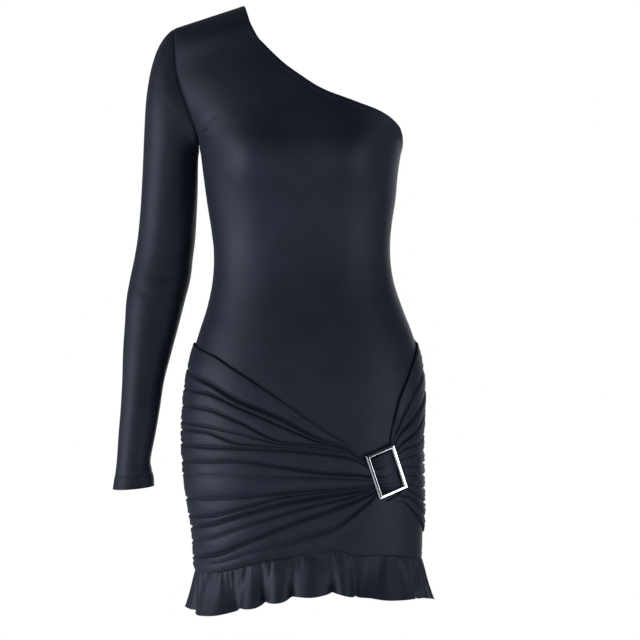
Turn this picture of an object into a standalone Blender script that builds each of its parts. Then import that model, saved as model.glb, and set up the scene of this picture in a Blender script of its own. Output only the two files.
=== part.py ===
"""A one-shoulder dress in stretch jersey, worn, with nobody in it.

The figure below is a general dress form, given by a table of level sections.
Each cut piece is an open sheet whose points lie a set distance outside the
figure, and a Solidify modifier gives it the wall of the cloth.
Metres, +Z up, the front faces -Y and the sleeve is on -X. The origin is
where the shoulder holds the dress: the middle of the shoulder seam, inside.
"""

import math
from collections import namedtuple

import bmesh
import bpy
import numpy as np
from mathutils import Matrix, Vector

# Driving sizes
CLOTH = 0.0014  # the wall of every cloth piece
PANEL_OUT = 0.0016  # outer face of the front and back, from the figure
WRAP_OUT = 0.0038  # outer face of a wrap in its deepest fold, from the figure
SEAM_GAP = 0.0004  # between two pieces that are sewn together
ARMHOLE_GAP = 0.0018  # the same at the armhole, where the walls meet at an angle
RUFFLE_LENGTH = 0.056
RUFFLE_PART = 0.0002  # that each half of the ruffle stands from the side seam

# The figure: level sections from the hem up, then the roll over the shoulder.
# height, half-widths to the wearer's right and left, depths to front and back,
# how far back the side line lies, and how far a section follows the shoulder slope
Section = namedtuple("Section", "height right left front back middle slant")
SECTIONS = [
    Section(-0.745, 0.1400, 0.1585, 0.092, 0.089, 0.000, 0.0),
    Section(-0.710, 0.1408, 0.1592, 0.094, 0.092, 0.000, 0.0),
    Section(-0.675, 0.1435, 0.1598, 0.097, 0.097, 0.000, 0.0),
    Section(-0.640, 0.1492, 0.1600, 0.099, 0.103, 0.000, 0.0),
    Section(-0.600, 0.1540, 0.1592, 0.101, 0.110, 0.000, 0.0),
    Section(-0.555, 0.1565, 0.1585, 0.103, 0.116, 0.000, 0.0),
    Section(-0.510, 0.1545, 0.1600, 0.105, 0.117, 0.000, 0.0),
    Section(-0.475, 0.1500, 0.1588, 0.105, 0.112, 0.000, 0.0),
    Section(-0.445, 0.1432, 0.1535, 0.103, 0.103, 0.000, 0.0),
    Section(-0.415, 0.1338, 0.1448, 0.100, 0.094, 0.000, 0.0),
    Section(-0.385, 0.1240, 0.1330, 0.096, 0.087, 0.000, 0.0),
    Section(-0.350, 0.1167, 0.1212, 0.092, 0.081, 0.000, 0.0),
    Section(-0.315, 0.1150, 0.1165, 0.090, 0.079, 0.000, 0.0),
    Section(-0.280, 0.1183, 0.1175, 0.093, 0.081, 0.000, 0.0),
    Section(-0.240, 0.1243, 0.1230, 0.101, 0.086, 0.000, 0.0),
    Section(-0.205, 0.1290, 0.1265, 0.108, 0.092, 0.000, 0.0),
    Section(-0.172, 0.1336, 0.1323, 0.110, 0.097, 0.000, 0.0),
    Section(-0.150, 0.1430, 0.1430, 0.108, 0.099, 0.001, 0.05),
    Section(-0.125, 0.1550, 0.1550, 0.103, 0.098, 0.002, 0.20),
    Section(-0.090, 0.1690, 0.1690, 0.091, 0.094, 0.004, 0.50),
]
ROLL_HEIGHT = -0.055
ROLL_FRONT = 0.074
ROLL_BACK = 0.084
ROLL_HALF_WIDTH = 0.178
ROLL_MIDDLE = 0.006  # how far back the side line lies where the roll starts
ROLL_SHIFT = 0.002  # what the roll widens, and moves back, by its top
ROLL_SLANT = 0.8  # how far its lowest section follows the shoulder slope
ROLL_TURNS = (0, 30, 55, 75, 90)  # degrees over the shoulder
SQUARENESS = 2.25  # 2 would make each section an ellipse
SHOULDER_SLOPE = 0.333
SHOULDER_EASE = 0.03
SEAM_MIDDLE = 0.1235  # from the centre line to the middle of the shoulder seam
FIGURE_DEPTH = -0.008  # the side line of the figure, from the shoulder seam
BUST_ACROSS = 0.072
BUST_HEIGHT = -0.185
BUST_SPREAD = 0.046
BUST_RISE = 0.016
BUST_EASE = 0.02  # rounds the dip between the two sides

# Edges of the cut, as degrees across the figure and levels up it.
# -90 is the seam on the wearer's right, 0 the centre and 90 the seam on the left
Edge = namedtuple("Edge", "across level")
SIDE = 90.0
SIDE_INSET = 0.24  # degrees that each piece stops short of a side seam
ARMHOLE = [
    Edge(-90.0, 15.94),
    Edge(-74.0, 16.55),
    Edge(-66.3, 17.80),
    Edge(-64.3, 19.00),
    Edge(-63.7, 20.50),
    Edge(-68.2, 24.00),
]
NECKLINE = [
    Edge(90.0, 15.90),
    Edge(73.0, 16.42),
    Edge(58.0, 17.17),
    Edge(42.0, 17.82),
    Edge(25.0, 18.19),
    Edge(10.0, 18.48),
    Edge(0.0, 18.83),
    Edge(-8.0, 19.26),
    Edge(-14.8, 19.84),
    Edge(-18.8, 20.41),
    Edge(-22.2, 21.50),
    Edge(-24.8, 24.00),
]
FRONT_HEM = [
    Edge(-90.0, 0.55),
    Edge(-71.0, 0.48),
    Edge(-55.0, 0.53),
    Edge(-44.0, 0.59),
    Edge(-35.0, 0.71),
    Edge(-25.5, 0.89),
    Edge(-8.5, 1.16),
    Edge(9.0, 1.36),
    Edge(18.0, 1.40),
    Edge(24.0, 1.22),
    Edge(42.0, 1.14),
    Edge(55.0, 1.04),
    Edge(90.0, 0.80),
]
BACK_HEM = [Edge(-90.0, 0.55), Edge(0.0, 0.60), Edge(90.0, 0.80)]
PANEL_COLUMNS = 18
SKIRT_ROWS = 15
YOKE_ROWS = 11

# The wide wrap, from the seam on the wearer's right to the buckle. Each row is
# the bottom of a fold: its level at nine stations, then how far it stands off,
# and how far the cloth puffs out below it, both in millimetres
STATIONS = (0.0, 0.15, 0.30, 0.45, 0.60, 0.74, 0.83, 0.91, 1.0)
HEIGHT_STATIONS = (0.0, 0.12, 0.45, 0.75, 1.0)
Fold = namedtuple("Fold", "name levels dip puff")
WIDE_FOLDS = [
    Fold("top edge", (8.48, 8.32, 8.05, 7.27, 6.29, 5.44, 5.00, 4.51, 4.71),
         (0.4, 0.8, 1.0, 0.6, 0.0), (1.4, 1.6, 1.0, 0.6, 0.3)),
    Fold("first", (7.35, 7.19, 6.90, 6.25, 5.73, 5.13, 4.86, 4.47, 4.67),
         (0.0, 0.3, 0.0, 0.0, 0.0), (1.2, 1.5, 1.8, 1.2, 0.3)),
    Fold("second", (6.50, 6.52, 6.47, 6.02, 5.50, 5.03, 4.80, 4.43, 4.64),
         (0.0, 0.0, 0.0, 0.0, 0.0), (1.8, 2.2, 2.0, 1.0, 0.3)),
    Fold("third", (5.90, 5.97, 5.93, 5.59, 5.06, 4.94, 4.75, 4.39, 4.60),
         (0.0, 0.0, 0.2, 0.4, 0.0), (1.6, 1.8, 1.2, 0.6, 0.3)),
    Fold("fourth", (5.46, 5.46, 5.42, 5.27, 4.99, 4.87, 4.70, 4.35, 4.56),
         (0.0, 0.2, 1.0, 0.6, 0.0), (1.2, 1.2, 1.0, 0.6, 0.3)),
    Fold("fifth", (5.18, 5.27, 5.26, 4.98, 4.90, 4.80, 4.64, 4.32, 4.52),
         (0.0, 0.0, 0.3, 0.5, 0.0), (1.4, 1.8, 1.0, 0.5, 0.3)),
    Fold("sixth", (4.83, 4.83, 4.84, 4.85, 4.82, 4.71, 4.57, 4.28, 4.47),
         (0.0, 0.0, 0.0, 0.0, 0.1), (1.8, 2.0, 1.8, 1.2, 0.4)),
    Fold("seventh", (4.30, 4.37, 4.42, 4.48, 4.33, 4.16, 4.10, 4.01, 4.19),
         (0.0, 0.0, 0.0, 0.0, 0.1), (1.6, 1.6, 1.2, 1.6, 0.4)),
    Fold("hook", (3.92, 3.95, 4.02, 4.06, 4.06, 4.02, 3.96, 3.91, 4.10),
         (0.0, 0.8, 1.4, 1.6, 0.2), (1.8, 2.0, 2.2, 1.8, 0.4)),
    Fold("eighth", (3.10, 3.19, 3.27, 3.39, 3.55, 3.64, 3.68, 3.76, 3.97),
         (0.0, 0.0, 0.0, 0.0, 0.1), (2.0, 2.2, 1.6, 0.6, 0.3)),
    Fold("ninth", (2.50, 2.54, 2.66, 3.03, 3.43, 3.58, 3.63, 3.71, 3.93),
         (0.0, 0.0, 0.2, 0.2, 0.1), (1.8, 2.2, 1.6, 0.6, 0.3)),
    Fold("tenth", (2.00, 2.14, 2.36, 2.80, 3.22, 3.46, 3.56, 3.67, 3.89),
         (0.0, 0.0, 0.0, 0.0, 0.1), (1.8, 2.0, 2.2, 1.4, 0.3)),
    Fold("eleventh", (1.45, 1.60, 1.85, 2.35, 2.88, 3.25, 3.46, 3.64, 3.86),
         (0.0, 0.5, 1.6, 1.2, 0.1), (1.6, 2.0, 2.2, 1.2, 0.3)),
    Fold("lowest", (0.86, 0.98, 1.19, 1.76, 2.42, 2.97, 3.33, 3.60, 3.84),
         (0.0, 0.0, 0.0, 0.0, 0.1), (0.8, 1.2, 1.8, 2.0, 0.3)),
    Fold("tail", (0.68, 0.70, 0.85, 1.30, 1.78, 2.27, 2.99, 3.58, 3.84),
         (0.4, 0.8, 1.4, 0.2, 0.0), (0.4, 0.6, 1.0, 1.2, 0.2)),
    Fold("free edge", (0.55, 0.48, 0.58, 0.92, 1.24, 1.50, 2.58, 3.55, 3.82),
         (0.0, 0.0, 0.4, 0.6, 0.0), (0.0, 0.0, 0.0, 0.0, 0.0)),
]
WIDE_COLUMNS = 25
WIDE_END = (42.5, 51.6)  # degrees across, at the top and the bottom of the buckle

# The narrow wrap, from the buckle to the seam on the wearer's left: five points
# down each fold, then its dip and the puff below it at the buckle and the seam
Pull = namedtuple("Pull", "name path dip puff")
NARROW_FOLDS = [
    Pull("top edge", ((43.7, 4.84), (45.7, 5.55), (52.0, 6.60), (67.0, 7.85), (90.0, 8.62)),
         (0.0, 0.8, 0.4), (0.4, 1.4, 1.2)),
    Pull("middle", ((44.1, 4.79), (47.8, 5.35), (55.0, 6.00), (68.0, 6.80), (90.0, 7.40)),
         (0.1, 1.6, 0.0), (0.4, 1.8, 1.6)),
    Pull("first", ((44.5, 4.74), (49.8, 5.22), (59.0, 5.55), (70.0, 5.95), (90.0, 6.60)),
         (0.0, 0.0, 0.0), (0.4, 2.2, 1.8)),
    Pull("second", ((45.1, 4.66), (52.8, 4.97), (63.0, 5.20), (74.0, 5.50), (90.0, 5.95)),
         (0.0, 0.0, 0.0), (0.4, 1.8, 1.6)),
    Pull("third", ((46.0, 4.57), (53.8, 4.76), (63.0, 4.84), (74.0, 4.92), (90.0, 5.12)),
         (0.0, 0.0, 0.0), (0.4, 1.2, 1.4)),
    Pull("fourth", ((47.2, 4.42), (55.8, 4.52), (65.0, 4.56), (76.0, 4.60), (90.0, 4.64)),
         (0.0, 0.5, 0.0), (0.4, 1.2, 1.4)),
    Pull("fifth", ((48.8, 4.22), (56.8, 4.25), (66.0, 4.25), (77.0, 4.25), (90.0, 4.25)),
         (0.0, 0.3, 0.0), (0.4, 1.2, 1.4)),
    Pull("sixth", ((50.3, 4.02), (57.8, 3.98), (67.0, 3.94), (78.0, 3.90), (90.0, 3.86)),
         (0.0, 0.3, 0.0), (0.4, 1.2, 1.4)),
    Pull("seventh", ((52.0, 3.80), (58.8, 3.68), (67.0, 3.58), (78.0, 3.48), (90.0, 3.42)),
         (0.0, 0.2, 0.0), (0.4, 1.2, 1.4)),
    Pull("eighth", ((53.4, 3.60), (60.8, 3.42), (68.0, 3.22), (78.0, 3.02), (90.0, 2.92)),
         (0.0, 0.0, 0.0), (0.4, 1.8, 1.6)),
    Pull("ninth", ((48.4, 3.38), (58.2, 3.24), (66.0, 2.95), (77.0, 2.58), (90.0, 2.36)),
         (0.0, 0.2, 0.0), (0.4, 1.2, 1.2)),
    Pull("lower edge", ((42.0, 3.20), (53.0, 3.12), (62.0, 2.72), (74.0, 2.25), (90.0, 1.75)),
         (0.0, 0.4, 0.2), (0.0, 0.0, 0.0)),
]
NARROW_COLUMNS = 10
WIDE_BAND = 0.6  # levels: a fold spaced wider than this takes three rows, not two

# The ruffle: where each wave stands furthest out and in, and by how much at the
# hem. Degrees across, then millimetres
Wave = namedtuple("Wave", "crest out trough inward")
FRONT_WAVES = [
    Wave(-90.0, 13.0, -71.0, 2.0),
    Wave(-50.0, 17.0, -34.0, -3.0),
    Wave(-26.0, 14.0, -19.0, -1.0),
    Wave(-12.0, 13.0, -5.5, 0.0),
    Wave(4.0, 13.0, 14.5, -4.0),
    Wave(20.0, 12.0, 26.0, -5.0),
    Wave(46.0, 15.0, 67.0, -2.0),
]
LAST_CREST = 16.0  # at the seam on the wearer's left, in both halves
BACK_WAVES = [
    Wave(-90.0, 13.0, -67.0, 0.0),
    Wave(-52.0, 16.0, -38.0, -2.0),
    Wave(-26.0, 14.0, -17.0, -2.0),
    Wave(-6.0, 14.0, 5.0, -3.0),
    Wave(16.0, 15.0, 26.0, -1.0),
    Wave(37.0, 13.0, 47.0, -2.0),
    Wave(60.0, 16.0, 72.0, 0.0),
]
RUFFLE_COLUMNS = 4 * PANEL_COLUMNS
RUFFLE_ROWS = 5
GATHERS = 18  # small gathers in each half of the ruffle's seam
GATHER_RISE = 0.0011
GATHER_REACH = 0.55  # how far down the ruffle a gather runs
GATHER_START = 0.12  # its rise at the seam, as a share of half a turn
RUFFLE_FLARE = 1.4  # power by which a wave opens towards the hem
RUFFLE_STAND = 0.0012  # how far the ruffle springs off its seam

# The sleeve: sections from the armhole to the cuff, in millimetres from the
# shoulder. Outer and inner points as seen from the front, depth, and how far back
Ring = namedtuple("Ring", "outer_x outer_z inner_x inner_z depth back")
SLEEVE = [
    Ring(-47.3, -14.4, -12.1, -174.0, 52, -6),
    Ring(-58.0, -25.6, -12.4, -175.4, 51, -6),
    Ring(-67.3, -41.0, -12.8, -177.3, 50, -5),
    Ring(-74.6, -62.2, -13.2, -179.3, 48, -4),
    Ring(-79.3, -83.5, -13.6, -183.3, 46, -3),
    Ring(-83.0, -110.1, -13.8, -188.6, 44, -2),
    Ring(-84.9, -139.4, -14.1, -196.6, 42, -1),
    Ring(-86.6, -171.3, -14.4, -209.9, 40, 0),
    Ring(-88.6, -211.2, -15.0, -232.5, 39, 2),
    Ring(-91.0, -251.1, -16.4, -261.7, 38, 3),
    Ring(-94.6, -288.3, -18.6, -293.7, 38, 4),
    Ring(-99.2, -317.6, -21.7, -318.9, 37, 3),
    Ring(-105.2, -345.5, -24.7, -345.5, 37, 1),
    Ring(-109.9, -373.5, -31.4, -373.5, 36, -3),
    Ring(-111.6, -406.7, -39.8, -406.7, 34, -8),
    Ring(-113.4, -442.6, -49.3, -442.6, 32, -14),
    Ring(-114.1, -479.9, -58.7, -479.9, 29, -20),
    Ring(-115.8, -517.1, -64.2, -517.1, 27, -26),
    Ring(-118.4, -550.4, -69.6, -550.4, 25, -31),
    Ring(-120.2, -582.3, -75.7, -582.3, 24, -35),
    Ring(-121.6, -597.0, -74.5, -595.0, 24.5, -37),
    Ring(-123.2, -608.9, -72.0, -606.3, 25.5, -38),
    Ring(-124.9, -622.0, -71.3, -617.6, 27, -40),
]
SLEEVE_ROWS = 21
ARMHOLE_FADE = 0.30  # the share of the sleeve over which it leaves the armhole's shape
MILLIMETRE = 0.001

# The buckle, a flat frame with a bar behind the cloth
BUCKLE_ACROSS = 41.0
BUCKLE_LEVEL = 4.15
BUCKLE_LEAN = 20.0  # degrees from upright
BUCKLE_WIDTH = 0.0425
BUCKLE_LENGTH = 0.0615
BUCKLE_BAR = 0.0052
BUCKLE_THICK = 0.0034
BUCKLE_OFF = 0.0072  # underside of the frame, from the figure
BUCKLE_EDGE = 0.0006  # bevel of its edges
BUCKLE_CORNER = 0.0022
CENTRE_BAR_WIDTH = 0.0034
CENTRE_BAR_THICK = 0.0024
CENTRE_BAR_OFF = 0.0049
CROWN_RISE = 0.0059  # how far the bar lifts the cloth that passes over it
CROWN_SPREAD = 6.4  # degrees across
BAR_LEAN = 6.2  # degrees across that the centre bar shifts for each level down


def section_table():
    """The level sections as rows of numbers, with the roll over the shoulder added."""
    rows = [list(section) for section in SECTIONS]
    for turn in ROLL_TURNS:
        up = math.sin(math.radians(turn))
        out = math.cos(math.radians(turn))
        half = ROLL_HALF_WIDTH + ROLL_SHIFT * up
        middle = ROLL_MIDDLE + ROLL_SHIFT * up
        slant = ROLL_SLANT + (1 - ROLL_SLANT) * up
        height = ROLL_HEIGHT * (1 - up)
        rows.append([height, half, half, ROLL_FRONT * out, ROLL_BACK * out, middle, slant])
    return np.array(rows)


TABLE = section_table()
TOP = len(TABLE) - 1.0
# Where a panel stops at the shoulder, short of the other one
ARM_TOP = TOP - 0.09
NECK_TOP = TOP - 0.05


def through(table, at):
    """A smooth curve through the rows of a table, at a place counted in rows."""
    table = np.asarray(table, float)
    at = np.clip(np.asarray(at, float), 0, len(table) - 1)
    row = np.minimum(at.astype(int), len(table) - 2)
    t = (at - row)[..., None]
    start = table[row]
    end = table[row + 1]
    leave = (end - table[np.maximum(row - 1, 0)]) / 2
    arrive = (table[np.minimum(row + 2, len(table) - 1)] - start) / 2
    cube = t**3
    square = t**2
    return (
        (2 * cube - 3 * square + 1) * start
        + (cube - 2 * square + t) * leave
        + (3 * square - 2 * cube) * end
        + (cube - square) * arrive
    )


def smooth_through(stations, values, at):
    """A smooth curve through values at uneven stations, without overshoot."""
    stations = np.asarray(stations, float)
    values = np.asarray(values, float)
    steps = np.diff(values) / np.diff(stations)
    slopes = np.zeros(len(values))
    same_way = steps[1:] * steps[:-1] > 0
    both = steps[1:] + steps[:-1]
    both[both == 0] = 1.0
    slopes[1:-1] = np.where(same_way, 2 * steps[1:] * steps[:-1] / both, 0.0)
    slopes[0] = steps[0]
    slopes[-1] = steps[-1]
    at = np.clip(at, stations[0], stations[-1])
    cell = np.clip(np.searchsorted(stations, at, side="right") - 1, 0, len(stations) - 2)
    width = stations[cell + 1] - stations[cell]
    t = (at - stations[cell]) / width
    cube = t**3
    square = t**2
    return (
        (2 * cube - 3 * square + 1) * values[cell]
        + (cube - 2 * square + t) * slopes[cell] * width
        + (3 * square - 2 * cube) * values[cell + 1]
        + (cube - square) * slopes[cell + 1] * width
    )


def shoulder_drop(across):
    """How far the shoulder line lies below the middle of its seam."""
    ease = SHOULDER_EASE**2
    return SHOULDER_SLOPE * (math.sqrt(SEAM_MIDDLE**2 + ease) - np.sqrt(across**2 + ease))


def figure(across, level, back=False):
    """Points on the figure, from degrees across it and levels up it."""
    across, level = np.broadcast_arrays(np.asarray(across, float), np.asarray(level, float))
    height, right, left, front, rear, middle, slant = np.moveaxis(through(TABLE, level), -1, 0)
    sine = np.sin(np.radians(across))
    cosine = np.cos(np.radians(across))
    reach = (np.abs(sine) ** SQUARENESS + np.abs(cosine) ** SQUARENESS) ** (-1 / SQUARENESS)
    x = np.where(sine < 0, right, left) * reach * sine
    depth = (rear if back else front) * reach * cosine
    z = height + slant * shoulder_drop(x)
    if not back:
        aside = (np.sqrt(x**2 + BUST_EASE**2) - BUST_ACROSS) / BUST_SPREAD
        above = (z - BUST_HEIGHT) / BUST_SPREAD
        depth = depth + BUST_RISE * np.exp(-(aside**2) - above**2) * np.clip(2 * cosine, 0, 1)
    y = middle + FIGURE_DEPTH + (depth if back else -depth)
    return np.stack([x + SEAM_MIDDLE, y, z], -1)


def outward(across, level, back=False):
    """The direction straight out of the figure at each place."""
    step = 0.05
    level = np.clip(level, step, TOP - step)
    sideways = figure(across + step, level, back) - figure(across - step, level, back)
    upwards = figure(across, level + step, back) - figure(across, level - step, back)
    normal = np.cross(upwards, sideways) if back else np.cross(sideways, upwards)
    return normal / np.linalg.norm(normal, axis=-1, keepdims=True)


def off_figure(across, level, out, back=False):
    """Points that stand a distance outside the figure."""
    return figure(across, level, back) + outward(across, level, back) * np.asarray(out)[..., None]


def hem_level(across, back=False):
    hem = BACK_HEM if back else FRONT_HEM
    return smooth_through([edge.across for edge in hem], [edge.level for edge in hem], across)


def material(name, colour, roughness, metallic=0.0):
    found = bpy.data.materials.get(name)
    if found:
        return found
    made = bpy.data.materials.new(name)
    made.use_nodes = True
    surface = made.node_tree.nodes["Principled BSDF"]
    surface.inputs["Base Color"].default_value = (*colour, 1.0)
    surface.inputs["Roughness"].default_value = roughness
    surface.inputs["Metallic"].default_value = metallic
    made.diffuse_color = (*colour, 1.0)
    return made


def jersey():
    return material("stretch jersey", (0.012, 0.015, 0.024), 0.42)


def sheet(name, points, collection, tube=False, flip=False):
    """A cloth piece: a grid of points on its outer face, given a wall inwards."""
    rows, columns = points.shape[:2]
    shape = bmesh.new()
    corners = [[shape.verts.new(point) for point in row] for row in points]
    for row in range(rows - 1):
        for column in range(columns if tube else columns - 1):
            after = (column + 1) % columns
            below = [corners[row][column], corners[row][after]]
            face = below + [corners[row + 1][after], corners[row + 1][column]]
            shape.faces.new(reversed(face) if flip else face)
    mesh = bpy.data.meshes.new(name)
    shape.to_mesh(mesh)
    shape.free()
    mesh.shade_smooth()
    mesh.materials.append(jersey())
    piece = bpy.data.objects.new(name, mesh)
    collection.objects.link(piece)
    wall = piece.modifiers.new("Cloth", "SOLIDIFY")
    wall.thickness = CLOTH
    wall.offset = -1.0
    return piece


def armhole_path(count):
    """Degrees across and levels at equal steps up the armhole, armpit first."""
    places = through(ARMHOLE, np.linspace(0, len(ARMHOLE) - 1, count))
    places[0, 0] = -SIDE + SIDE_INSET
    places[-1, 1] = ARM_TOP
    return places


def panel_places(back):
    """Degrees across and levels for each row of a panel, from the hem up."""
    reach = SIDE - SIDE_INSET
    across = np.linspace(-reach, reach, PANEL_COLUMNS + 1)
    hem = hem_level(across, back)
    share = np.linspace(0, 1, SKIRT_ROWS + 1)[:, None]
    top = np.linspace(ARMHOLE[0].level, NECKLINE[0].level, PANEL_COLUMNS + 1)
    levels = hem + (top - hem) * share
    skirt = np.stack([np.broadcast_to(across, levels.shape), levels], -1)
    arm = armhole_path(YOKE_ROWS + 1)
    neck = np.array(NECKLINE)
    neck[0, 0] = reach
    neck[-1, 1] = NECK_TOP
    along = np.linspace(0, 1, PANEL_COLUMNS + 1)[None, :, None]
    yoke = arm[:, None] + (neck[:, None] - arm[:, None]) * along
    return np.concatenate([skirt, yoke[1:]])


def panel(name, back, collection):
    places = panel_places(back)
    points = off_figure(places[..., 0], places[..., 1], np.full(places.shape[:2], PANEL_OUT), back)
    return sheet(name, points, collection, flip=back)


def fold_rows(lines, dips, puffs, steps):
    """The rows of a wrap: every fold's line, with the puffed cloth between two."""
    places = []
    rises = []
    for index in range(len(lines) - 1):
        for step in range(steps[index]):
            t = step / steps[index]
            places.append(lines[index] * (1 - t) + lines[index + 1] * t)
            swell = puffs[index] * math.sin(math.pi * t)
            rises.append(dips[index] * (1 - t) + dips[index + 1] * t + swell)
    places.append(lines[-1])
    rises.append(dips[-1])
    return np.array(places), np.array(rises)


def band_steps(levels):
    return [3 if levels[i] - levels[i + 1] > WIDE_BAND else 2 for i in range(len(levels) - 1)]


def wide_wrap(collection):
    along = np.linspace(0, 1, WIDE_COLUMNS + 1)
    count = len(WIDE_FOLDS) - 1
    lines = []
    for index, fold in enumerate(WIDE_FOLDS):
        end = WIDE_END[0] + (WIDE_END[1] - WIDE_END[0]) * index / count
        across = -SIDE + SIDE_INSET + along * (end + SIDE - SIDE_INSET)
        lines.append(np.stack([across, smooth_through(STATIONS, fold.levels, along)], -1))
    dips = [smooth_through(HEIGHT_STATIONS, fold.dip, along) for fold in WIDE_FOLDS]
    puffs = [smooth_through(HEIGHT_STATIONS, fold.puff, along) for fold in WIDE_FOLDS]
    places, rises = fold_rows(lines, dips, puffs, band_steps([fold.levels[0] for fold in WIDE_FOLDS]))
    crown = CROWN_RISE * np.exp(-(((places[..., 0] - bar_across(places[..., 1])) / CROWN_SPREAD) ** 4))
    points = off_figure(places[..., 0], places[..., 1], WRAP_OUT + crown + rises * MILLIMETRE)
    return sheet("wide_wrap", points[::-1], collection)


def bar_across(level):
    """Degrees across of the buckle's centre bar, at a level."""
    return BUCKLE_ACROSS + (BUCKLE_LEVEL - level) * BAR_LEAN


def narrow_wrap(collection):
    along = np.linspace(0, 4, NARROW_COLUMNS + 1)
    lines = [through(fold.path, along) for fold in NARROW_FOLDS]
    for line in lines:
        line[-1, 0] = SIDE - SIDE_INSET
    dips = [smooth_through((0, 2, 4), fold.dip, along) for fold in NARROW_FOLDS]
    puffs = [smooth_through((0, 2, 4), fold.puff, along) for fold in NARROW_FOLDS]
    places, rises = fold_rows(lines, dips, puffs, [2] * (len(lines) - 1))
    points = off_figure(places[..., 0], places[..., 1], WRAP_OUT + rises * MILLIMETRE)
    return sheet("narrow_wrap", points[::-1], collection)


def wave_out(waves, across):
    """How far the ruffle's hem stands out, through every crest and trough."""
    places = []
    reaches = []
    for wave in waves:
        places += [wave.crest, wave.trough]
        reaches += [wave.out, wave.inward]
    places.append(SIDE)
    reaches.append(LAST_CREST)
    places = np.array(places)
    cell = np.clip(np.searchsorted(places, across, side="right") - 1, 0, len(places) - 2)
    t = (across - places[cell]) / (places[cell + 1] - places[cell])
    turn = (1 - np.cos(math.pi * t)) / 2
    reaches = np.array(reaches)
    return (reaches[cell] + (reaches[cell + 1] - reaches[cell]) * turn) * MILLIMETRE


def ruffle(name, waves, back, collection):
    seam = panel_places(back)[0]
    edge = off_figure(seam[:, 0], seam[:, 1], np.full(len(seam), PANEL_OUT), back)
    along = np.linspace(0, PANEL_COLUMNS, RUFFLE_COLUMNS + 1)
    top = np.stack([np.interp(along, np.arange(PANEL_COLUMNS + 1), values) for values in edge.T], -1)
    top[:, 1] += RUFFLE_PART if back else -RUFFLE_PART
    across = np.interp(along, np.arange(PANEL_COLUMNS + 1), seam[:, 0])
    hem = hem_level(across, back)
    out = outward(across, hem, back)
    out[:, 2] = 0
    out /= np.linalg.norm(out, axis=1, keepdims=True)
    reach = wave_out(waves, across)
    gather = GATHER_RISE * np.cos(np.linspace(0, 2 * math.pi * GATHERS, RUFFLE_COLUMNS + 1))
    rows = []
    for step in range(RUFFLE_ROWS + 1):
        down = step / RUFFLE_ROWS
        fade = math.sin(math.pi * min(1.0, GATHER_START + down / GATHER_REACH))
        stand = reach * down**RUFFLE_FLARE + gather * fade + RUFFLE_STAND * math.sqrt(down)
        fall = np.array([0, 0, -SEAM_GAP - RUFFLE_LENGTH * down])
        rows.append(top + out * stand[:, None] + fall)
    return sheet(name, np.array(rows)[::-1], collection, flip=back)


def sleeve(collection):
    """A tube lofted through its sections, from the armhole's own shape to the cuff."""
    around = 2 * YOKE_ROWS
    rings = through(SLEEVE, np.linspace(0, len(SLEEVE) - 1, SLEEVE_ROWS + 1)) * MILLIMETRE
    turns = np.arange(around) * 2 * math.pi / around
    half = armhole_path(YOKE_ROWS + 1)[::-1]
    front = off_figure(half[:, 0], half[:, 1], np.full(len(half), PANEL_OUT))
    rear = off_figure(half[:, 0], half[:, 1], np.full(len(half), PANEL_OUT), back=True)
    front[0] = rear[0] = (front[0] + rear[0]) / 2
    front[-1] = rear[-1] = (front[-1] + rear[-1]) / 2
    armhole = np.concatenate([front, rear[-2:0:-1]])
    armhole[:, 0] -= ARMHOLE_GAP
    points = []
    for index, (outer_x, outer_z, inner_x, inner_z, depth, back) in enumerate(rings):
        outer = np.array([outer_x, back, outer_z])
        inner = np.array([inner_x, back, inner_z])
        middle = (outer + inner) / 2
        forward = np.array([0, depth, 0])
        ring = middle + np.cos(turns)[:, None] * (outer - middle) - np.sin(turns)[:, None] * forward
        if index == 0:
            away = armhole - ring
        share = max(0.0, 1 - index / SLEEVE_ROWS / ARMHOLE_FADE)
        points.append(ring + away * share**2 * (3 - 2 * share))
    return sheet("sleeve", np.array(points), collection, tube=True)


def rounded_outline(width, length, corner):
    """Points round a rectangle with arcs for its corners."""
    points = []
    for quarter in range(4):
        side_x = 1 if quarter in (0, 3) else -1
        side_y = 1 if quarter in (0, 1) else -1
        centre = Vector((side_x * (width / 2 - corner), side_y * (length / 2 - corner)))
        for step in range(4):
            turn = math.radians(90 * quarter + 30 * step)
            points.append(centre + corner * Vector((math.cos(turn), math.sin(turn))))
    return points


def buckle_place():
    """The frame's middle, with its x across, its y up and its z out of the cloth."""
    place = figure(BUCKLE_ACROSS, BUCKLE_LEVEL)
    out = Vector(outward(np.array(BUCKLE_ACROSS), np.array(BUCKLE_LEVEL)))
    side = Vector((0, 0, 1)).cross(out).normalized()
    up = out.cross(side)
    axes = Matrix((side, up, out)).transposed()
    lean = Matrix.Rotation(math.radians(BUCKLE_LEAN), 3, "Z")
    return Matrix.Translation(place) @ (axes @ lean).to_4x4()


def frame_curve(name, collection):
    curve = bpy.data.curves.new(name, "CURVE")
    curve.dimensions = "2D"
    curve.fill_mode = "BOTH"
    curve.extrude = BUCKLE_THICK / 2 - BUCKLE_EDGE
    curve.bevel_depth = BUCKLE_EDGE
    curve.bevel_resolution = 1
    # the bevel grows the outer outline and narrows the inner one
    for shrink, corner in (
        (2 * BUCKLE_EDGE, BUCKLE_CORNER),
        (2 * BUCKLE_BAR - 2 * BUCKLE_EDGE, BUCKLE_CORNER / 2),
    ):
        outline = rounded_outline(BUCKLE_WIDTH - shrink, BUCKLE_LENGTH - shrink, corner)
        spline = curve.splines.new("POLY")
        spline.points.add(len(outline) - 1)
        for point, place in zip(spline.points, outline):
            point.co = (place.x, place.y, 0, 1)
        spline.use_cyclic_u = True
    frame = bpy.data.objects.new(name, curve)
    collection.objects.link(frame)
    return frame


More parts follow.
